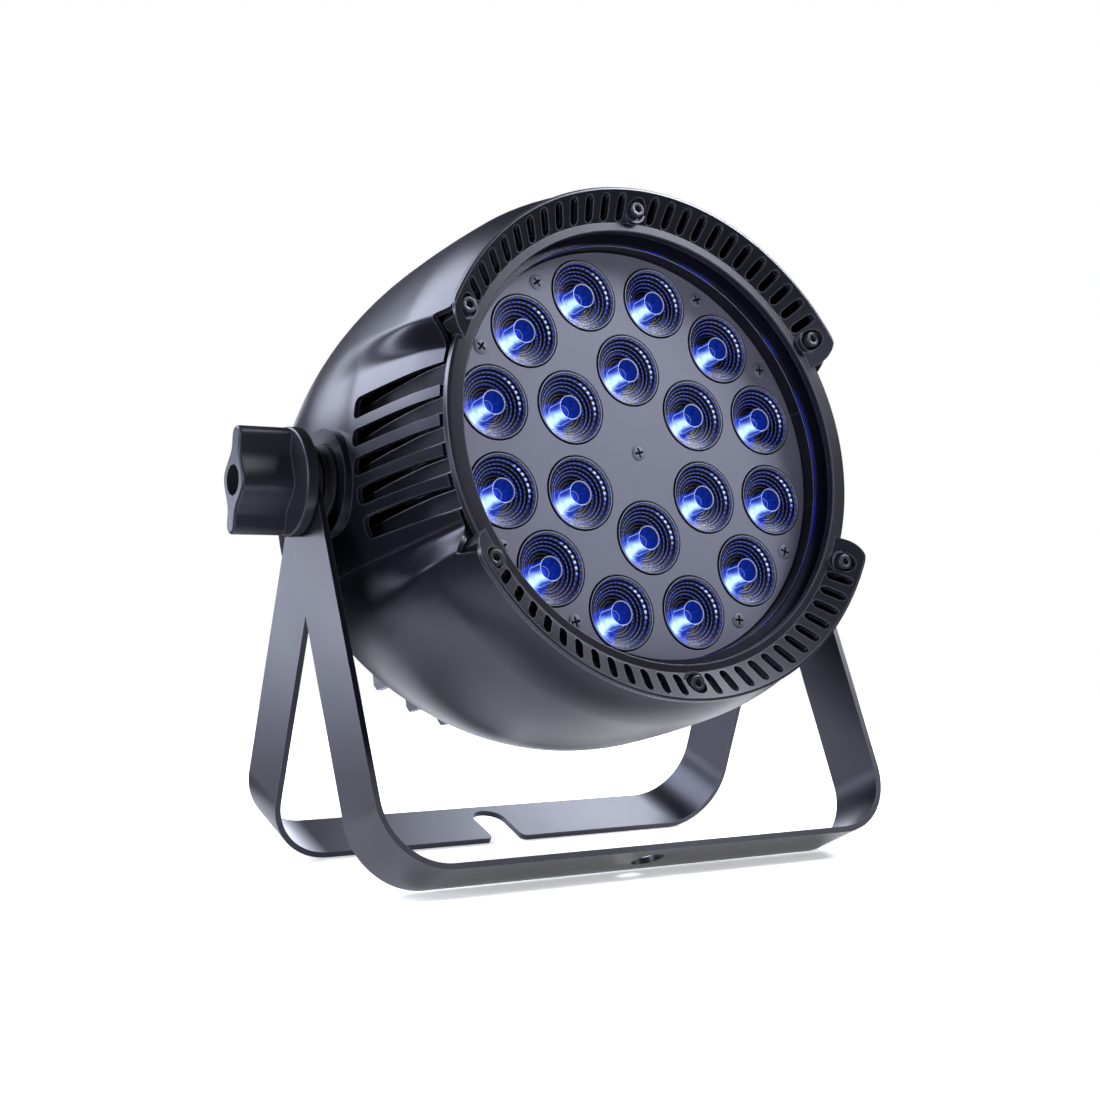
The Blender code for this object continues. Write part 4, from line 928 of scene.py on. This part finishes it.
def lens_plate():
    radius = extent("lens_plate", LAMP)[1].x
    mesh = rod((0, 0, -PLATE_THICK), (0, 0, 0), radius, 192)
    holes = []
    for name in LENS_NODES:
        centre = centre_of(name, LAMP)
        place = Vector((centre.x, centre.y, 0))
        start = place + Vector((0, 0, -9 * MM))
        holes.append(rod(start, place + Vector((0, 0, 5 * MM)), LENS_HOLE_R, 72))
    mesh = cut(mesh, joined(holes))
    piece("lens_plate", rounded(mesh, 0.3 * MM), PLATE_GREY, "head", ["lens_plate"])
    head = screw_mesh()
    turn = Matrix.Rotation(CENTRE_SCREW_TURN, 4, "Z")
    piece("centre_screw", head.copy(), PLATE_GREY, "head", ["centre_screw"], LAMP @ turn)
    screws = []
    # Each screw gets a dark filling in its cross recess as painted shade.
    recess_shade_fills = [moved(recess_shade_mesh(), turn)]
    for number, angle in enumerate(PLATE_SCREW_ANGLES):
        turn = Matrix.Rotation(PLATE_SCREW_TURN * number, 4, "Z")
        place = Matrix.Translation(at_angle(PLATE_SCREW_RING, angle)) @ turn
        screws.append(moved(head.copy(), place))
        recess_shade_fills.append(moved(recess_shade_mesh(), place))
    piece("plate_screws", joined(screws), PLATE_GREY, "head")
    piece("painted_screw_recess_shade", joined(recess_shade_fills), PAINTED_RECESS_SHADE, "head")


# ---------------------------------------------------------------- shells

def barrel_radius(depth, lower):
    fall = BOW_FRONT if depth < SHELL_WIDEST else BOW_REAR + BOW_REAR_BELOW * lower
    neck = max(0, (NECK_START - depth) / (NECK_START - SHELL_FRONT)) ** 1.5 * NECK_FALL
    return SHELL_MAX_R - fall * (depth - SHELL_WIDEST) ** 2 - neck


def recess_depth(depth):
    ahead = max(0, (SHOULDER_START - depth) / (SHOULDER_START - SHELL_SIDE_FRONT))
    return RECESS * (1 - smoothstep(50 * MM, 95 * MM, depth)) + ahead ** 1.2 * SHOULDER_FALL


def shell_radius(degrees, depth):
    """Outer radius of the shell. Degrees are measured from the lamp's horizontal."""
    below = smoothstep(15, 60, -degrees)
    barrel = barrel_radius(depth, below)
    side = max(barrel - recess_depth(depth), SHELL_MIN_R)
    crease = smoothstep(-10 * MM, 60 * MM, depth)
    recess_end = RECESS_TOP + RECESS_BLEND + CREASE_BLEND * crease
    blend = smoothstep(RECESS_TOP, recess_end, abs(degrees))
    return side + (barrel - side) * blend


def front_edge(degrees):
    """Depth of the shell's front edge: back beside the bezel, forward under its flanges."""
    side = smoothstep(20.6, 23.4, abs(degrees))
    flange = smoothstep(25.4, 26.8, abs(degrees))
    return (SHELL_SIDE_FRONT + (SHELL_WING_FRONT - SHELL_SIDE_FRONT) * side
            + (SHELL_FRONT - SHELL_WING_FRONT) * flange)


def steps_between(first, last, pitch):
    """Evenly spaced values from first up to, but not at, last."""
    count = max(1, round((last - first) / pitch))
    return [first + (last - first) * step / count for step in range(count)]


def shell_skin(first, back, mirrored):
    """A loft through the shell's sections, thickened inwards."""
    angles = steps_between(first, 20, 1.2) + steps_between(20, 31, 0.4)
    angles += steps_between(31, 90, 2.4) + [90]
    angles += [180 - angle for angle in reversed(angles[:-1])]
    bm = bmesh.new()
    rows = []
    for number in range(SHELL_ROWS + 1):
        row = []
        for degrees in angles:
            folded = degrees if degrees <= 90 else 180 - degrees
            front = front_edge(folded)
            depth = front + (back - front) * number / SHELL_ROWS
            radius = shell_radius(-folded if mirrored else folded, depth)
            row.append(bm.verts.new(at_angle(radius, -degrees if mirrored else degrees, -depth)))
        rows.append(row)
    for upper, lower in zip(rows, rows[1:]):
        for index in range(len(angles) - 1):
            bm.faces.new((upper[index], upper[index + 1], lower[index + 1], lower[index]))
    skin = mesh_from(bm)
    middle = skin.polygons[len(skin.polygons) // 2]
    if middle.normal.dot(Vector((middle.center.x, middle.center.y, 0))) < 0:
        skin.flip_normals()
    obj = bpy.data.objects.new("skin", skin)
    solidify = obj.modifiers.new("wall", "SOLIDIFY")
    solidify.thickness = SHELL_WALL
    solidify.offset = -1
    return evaluated(obj)


def vent_rows():
    """Centre height and half height of each of the five side vents."""
    for up, half in SIDE_VENTS:
        for sign in ((1, -1) if up else (1,)):
            yield up * sign, half


def side_vent_cutters():
    cutters = []
    upright = Matrix(((0, 0, 1, 0), (1, 0, 0, 0), (0, 1, 0, 0), (0, 0, 0, 1)))
    corner = 3 * MM
    rear = -SIDE_VENT_BACK
    for side in (-1, 1):
        start = 85 * MM if side > 0 else -140 * MM
        for up, half in vent_rows():
            outline = [(up - half, 20 * MM)]
            outline += arc((up - half + corner, rear + corner), corner, 180, 270, 8)
            outline += arc((up + half - corner, rear + corner), corner, 270, 360, 8)
            outline += [(up + half, 20 * MM)]
            cutters.append(prism(outline, start, start + 55 * MM, upright))
    return cutters


def shells():
    mesh = shell_skin(-SEAM_ANGLE + SEAM_GAP, UPPER_BACK, False)
    bosses = []
    holes = []
    for side in (-1, 1):
        bosses.append(rod((side * 117.6 * MM, 0, -PIVOT_BEHIND_PLATE),
                          (side * BOSS_FACE, 0, -PIVOT_BEHIND_PLATE), BOSS_R, 96))
        holes.append(rod((side * 100 * MM, 0, -PIVOT_BEHIND_PLATE),
                         (side * 140 * MM, 0, -PIVOT_BEHIND_PLATE), STUD_HOLE_R, 48))
    mesh = cut(unite(mesh, *bosses), *holes, joined(side_vent_cutters()))
    piece("upper_shell", rounded(mesh, 0.5 * MM, 3), SHELL_PAINT, "head", ["upper_shell"])
    mesh = shell_skin(SEAM_ANGLE + SEAM_GAP, LOWER_BACK, True)
    piece("lower_shell", rounded(mesh, 0.5 * MM, 3), SHELL_PAINT, "head", ["lower_shell"])


# ---------------------------------------------------------------- core housing

def fin_reach(depth):
    """Radius of a fin's outer edge: level with the shell in front, deeper towards the rear."""
    inside = max(depth, SHELL_SIDE_FRONT)
    along = min(1, (inside - SHELL_SIDE_FRONT) / (SIDE_VENT_BACK - SHELL_SIDE_FRONT))
    sink = FIN_SINK + FIN_SINK_REAR * along
    return min(shell_radius(0, min(inside, SIDE_VENT_BACK)) - sink, FIN_MAX_R)


def core_housing():
    profile = [(RIM_OUT_R, RIM_FRONT), (RIM_OUT_R, 2 * MM), (DRUM_OUT_R, -4 * MM),
               (DRUM_OUT_R, -DRUM_BACK), (DRUM_IN_R, -DRUM_BACK), (DRUM_IN_R, SEAT),
               (RIM_IN_R, SEAT), (RIM_IN_R, RIM_FRONT)]
    mesh = turned(profile, 200)
    fins = []
    for side in (-1, 1):
        for up, half in vent_rows():
            sign = -1 if up < 0 else 1
            near = abs(up) - half + SIDE_FIN_SIDE_GAP
            far = abs(up) + half - SIDE_FIN_SIDE_GAP
            inner = math.sqrt(SIDE_FIN_IN_R ** 2 - far ** 2)
            outline = [(inner, -SIDE_FIN_BACK), (inner, SIDE_FIN_FRONT)]
            for step in range(FIN_STEPS + 1):
                depth = -SIDE_FIN_FRONT + (SIDE_FIN_BACK + SIDE_FIN_FRONT) * step / FIN_STEPS
                outline.append((math.sqrt(fin_reach(depth) ** 2 - far ** 2), -depth))
            low, high = sorted((sign * near, sign * far))
            place = Matrix(((side, 0, 0, 0), (0, 0, 1, 0), (0, 1, 0, 0), (0, 0, 0, 1)))
            fins.append(rounded(prism(outline, low, high, place), 0.35 * MM, 3))
    back_gap = rod((0, 0, -SIDE_FIN_BACK - 5 * MM), (0, 0, -DRUM_BACK), 98.5 * MM, 200)
    glass_room = rod((0, 0, SEAT - 0.2 * MM), (0, 0, 20 * MM), 101.5 * MM, 200)
    fins = cut(joined(fins), back_gap, glass_room)
    lugs = []
    holes = []
    for _, centre in bolt_places():
        angle = math.atan2(centre.y, centre.x)
        ring = centre.length
        outline = [at_angle(LUG_IN_R, 3.2)[:2], at_angle(LUG_IN_R, -3.2)[:2]]
        outline += arc((ring, 0), LUG_R, -90, 90, 12)
        lugs.append(prism(outline, -LUG_BACK, RIM_FRONT, Matrix.Rotation(angle, 4, "Z")))
        start = centre + Vector((0, 0, 1 * MM))
        holes.append(rod(start, centre + Vector((0, 0, 22 * MM)), BOLT_HOLE_R, 24))
    lugs = cut(joined(lugs), glass_room.copy())
    mesh = cut(unite(mesh, fins, lugs), joined(holes))
    piece("core_housing", mesh, CORE_PAINT, "head", ["core_housing"])


# ---------------------------------------------------------------- CAD nodes kept, with finer surfaces

def refined(node, width, material):
    """The CAD node's own shape with its flat faces merged and its edges rounded."""
    bm = bmesh.new()
    bm.from_mesh(NODES[node].data)
    bmesh.ops.remove_doubles(bm, verts=bm.verts, dist=0.000003)
    bmesh.ops.dissolve_limit(bm, angle_limit=math.radians(0.5), verts=bm.verts, edges=bm.edges)
    mesh = rounded(mesh_from(bm), width)
    piece(node, mesh, material, NODES[node]["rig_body"], [node], Matrix.Identity(4))


REFINED = (
    ("heat_sink", 0.3 * MM, CORE_PAINT, "core_paint"),
    ("rear_housing", 0.5 * MM, SHELL_PAINT, "shell_paint"),
    ("control_panel", 0.4 * MM, PANEL_PLASTIC, "panel_plastic"),
    ("display", 0.2 * MM, DISPLAY_WINDOW, "display_window"),
    ("power_inlet", 0.5 * MM, SOCKET_BLUE, "socket_blue"),
    ("power_outlet", 0.5 * MM, SOCKET_GREY, "socket_grey"),
    ("signal_input", 0.4 * MM, PANEL_PLASTIC, "panel_plastic"),
    ("signal_output", 0.4 * MM, PANEL_PLASTIC, "panel_plastic"),
)
KEPT = (
    ("pivot_stud_left", PLAIN_STEEL), ("pivot_stud_right", PLAIN_STEEL), ("safety_loop", PLAIN_STEEL),
    ("led_board", CIRCUIT_BOARD), ("control_board", CIRCUIT_BOARD), ("power_supply", SUPPLY_METAL),
    ("button_menu", BUTTON_RUBBER), ("button_up", BUTTON_RUBBER), ("button_down", BUTTON_RUBBER),
    ("button_enter", BUTTON_RUBBER),
)


def kept_nodes():
    for name, material in KEPT:
        mesh = NODES[name].data
        mesh.materials.clear()
        mesh.materials.append(material)


# ---------------------------------------------------------------- stage

def area_light(name, place, size, power, colour):
    data = bpy.data.lights.new(name, "AREA")
    data.shape = "RECTANGLE"
    data.size, data.size_y = size
    data.energy = power
    data.color = colour
    obj = bpy.data.objects.new(name, data)
    bpy.context.scene.collection.objects.link(obj)
    obj.location = place
    obj.rotation_euler = (LAMP_MIDDLE - Vector(place)).to_track_quat("-Z", "Y").to_euler()


def stage():
    """White studio. Only the floor near the lamp is mirrored in it, so the black paint stays black."""
    scene = bpy.context.scene
    scene.view_settings.view_transform = "Standard"
    world = bpy.data.worlds.new("studio")
    world.use_nodes = True
    background = world.node_tree.nodes["Background"]
    background.inputs["Color"].default_value = (1, 1, 1, 1)
    background.inputs["Strength"].default_value = 1.0
    scene.world = world
    world.cycles_visibility.glossy = False
    world.cycles_visibility.diffuse = False
    near = prism(arc((0, 0), NEAR_FLOOR_R, 0, 360, 64)[:-1], -FLOOR_THICK, 0)
    wide = turned([(NEAR_FLOOR_R, -FLOOR_THICK), (WIDE_FLOOR_R, -FLOOR_THICK), (WIDE_FLOOR_R, 0),
                   (NEAR_FLOOR_R, 0)], 64)
    material, tree, shader = new_material("floor")
    tree.links.new(blend_colours(tree, noise(tree, 3, 2), (0.90, 0.90, 0.91), (0.94, 0.94, 0.95)),
                   shader.inputs["Base Color"])
    shader.inputs["Roughness"].default_value = 0.9
    shader.inputs["Specular IOR Level"].default_value = 0.1
    shader.inputs["Emission Color"].default_value = (1, 1, 1, 1)
    shader.inputs["Emission Strength"].default_value = FLOOR_GLOW
    reach = tree.nodes.new("ShaderNodeVectorMath")
    reach.operation = "LENGTH"
    tree.links.new(tree.nodes.new("ShaderNodeTexCoord").outputs["Object"], reach.inputs[0])
    far = bump_between(tree, reach.outputs["Value"], FLOOR_FADE, 100, FLOOR_FADE_SOFT)
    glow = tree.nodes.new("ShaderNodeEmission")
    mix = tree.nodes.new("ShaderNodeMixShader")
    tree.links.new(far, mix.inputs[0])
    tree.links.new(shader.outputs[0], mix.inputs[1])
    tree.links.new(glow.outputs[0], mix.inputs[2])
    tree.links.new(mix.outputs[0], tree.nodes["Material Output"].inputs["Surface"])
    for name, mesh in (("floor", wide), ("near_floor", near)):
        floor = bpy.data.objects.new(name, mesh)
        scene.collection.objects.link(floor)
        floor.location = (0, 0, -FLOOR_DROP)
        mesh.materials.append(material)
        floor.visible_glossy = name == "near_floor"
    for light in LIGHTS:
        area_light(*light)


def camera():
    data = bpy.data.cameras.new("camera")
    data.lens = CAMERA_LENS
    data.sensor_width = CAMERA_SENSOR
    obj = bpy.data.objects.new("camera", data)
    bpy.context.scene.collection.objects.link(obj)
    obj.location = PIVOT + CAMERA_FROM_PIVOT
    obj.rotation_euler = (CAMERA_TILT, 0, CAMERA_TURN)
    bpy.context.scene.camera = obj


camera()
stage()
yoke("front_bracket", FRONT_YOKE, BRACKET_PAINT, clamp_hole)
yoke("rear_bracket", REAR_YOKE, BRACKET_PAINT, clamp_notch)
for side_name, side in (("left", -1), ("right", 1)):
    knob(side_name, side)
    washer(f"inner_washer_{side_name}")
    washer(f"outer_washer_{side_name}")
front_bezel()
bezel_bolts()
glass_and_gasket()
lens_plate()
lenses()
shells()
core_housing()
for name, width, material, slot in REFINED:
    refined(name, width, material)
kept_nodes()
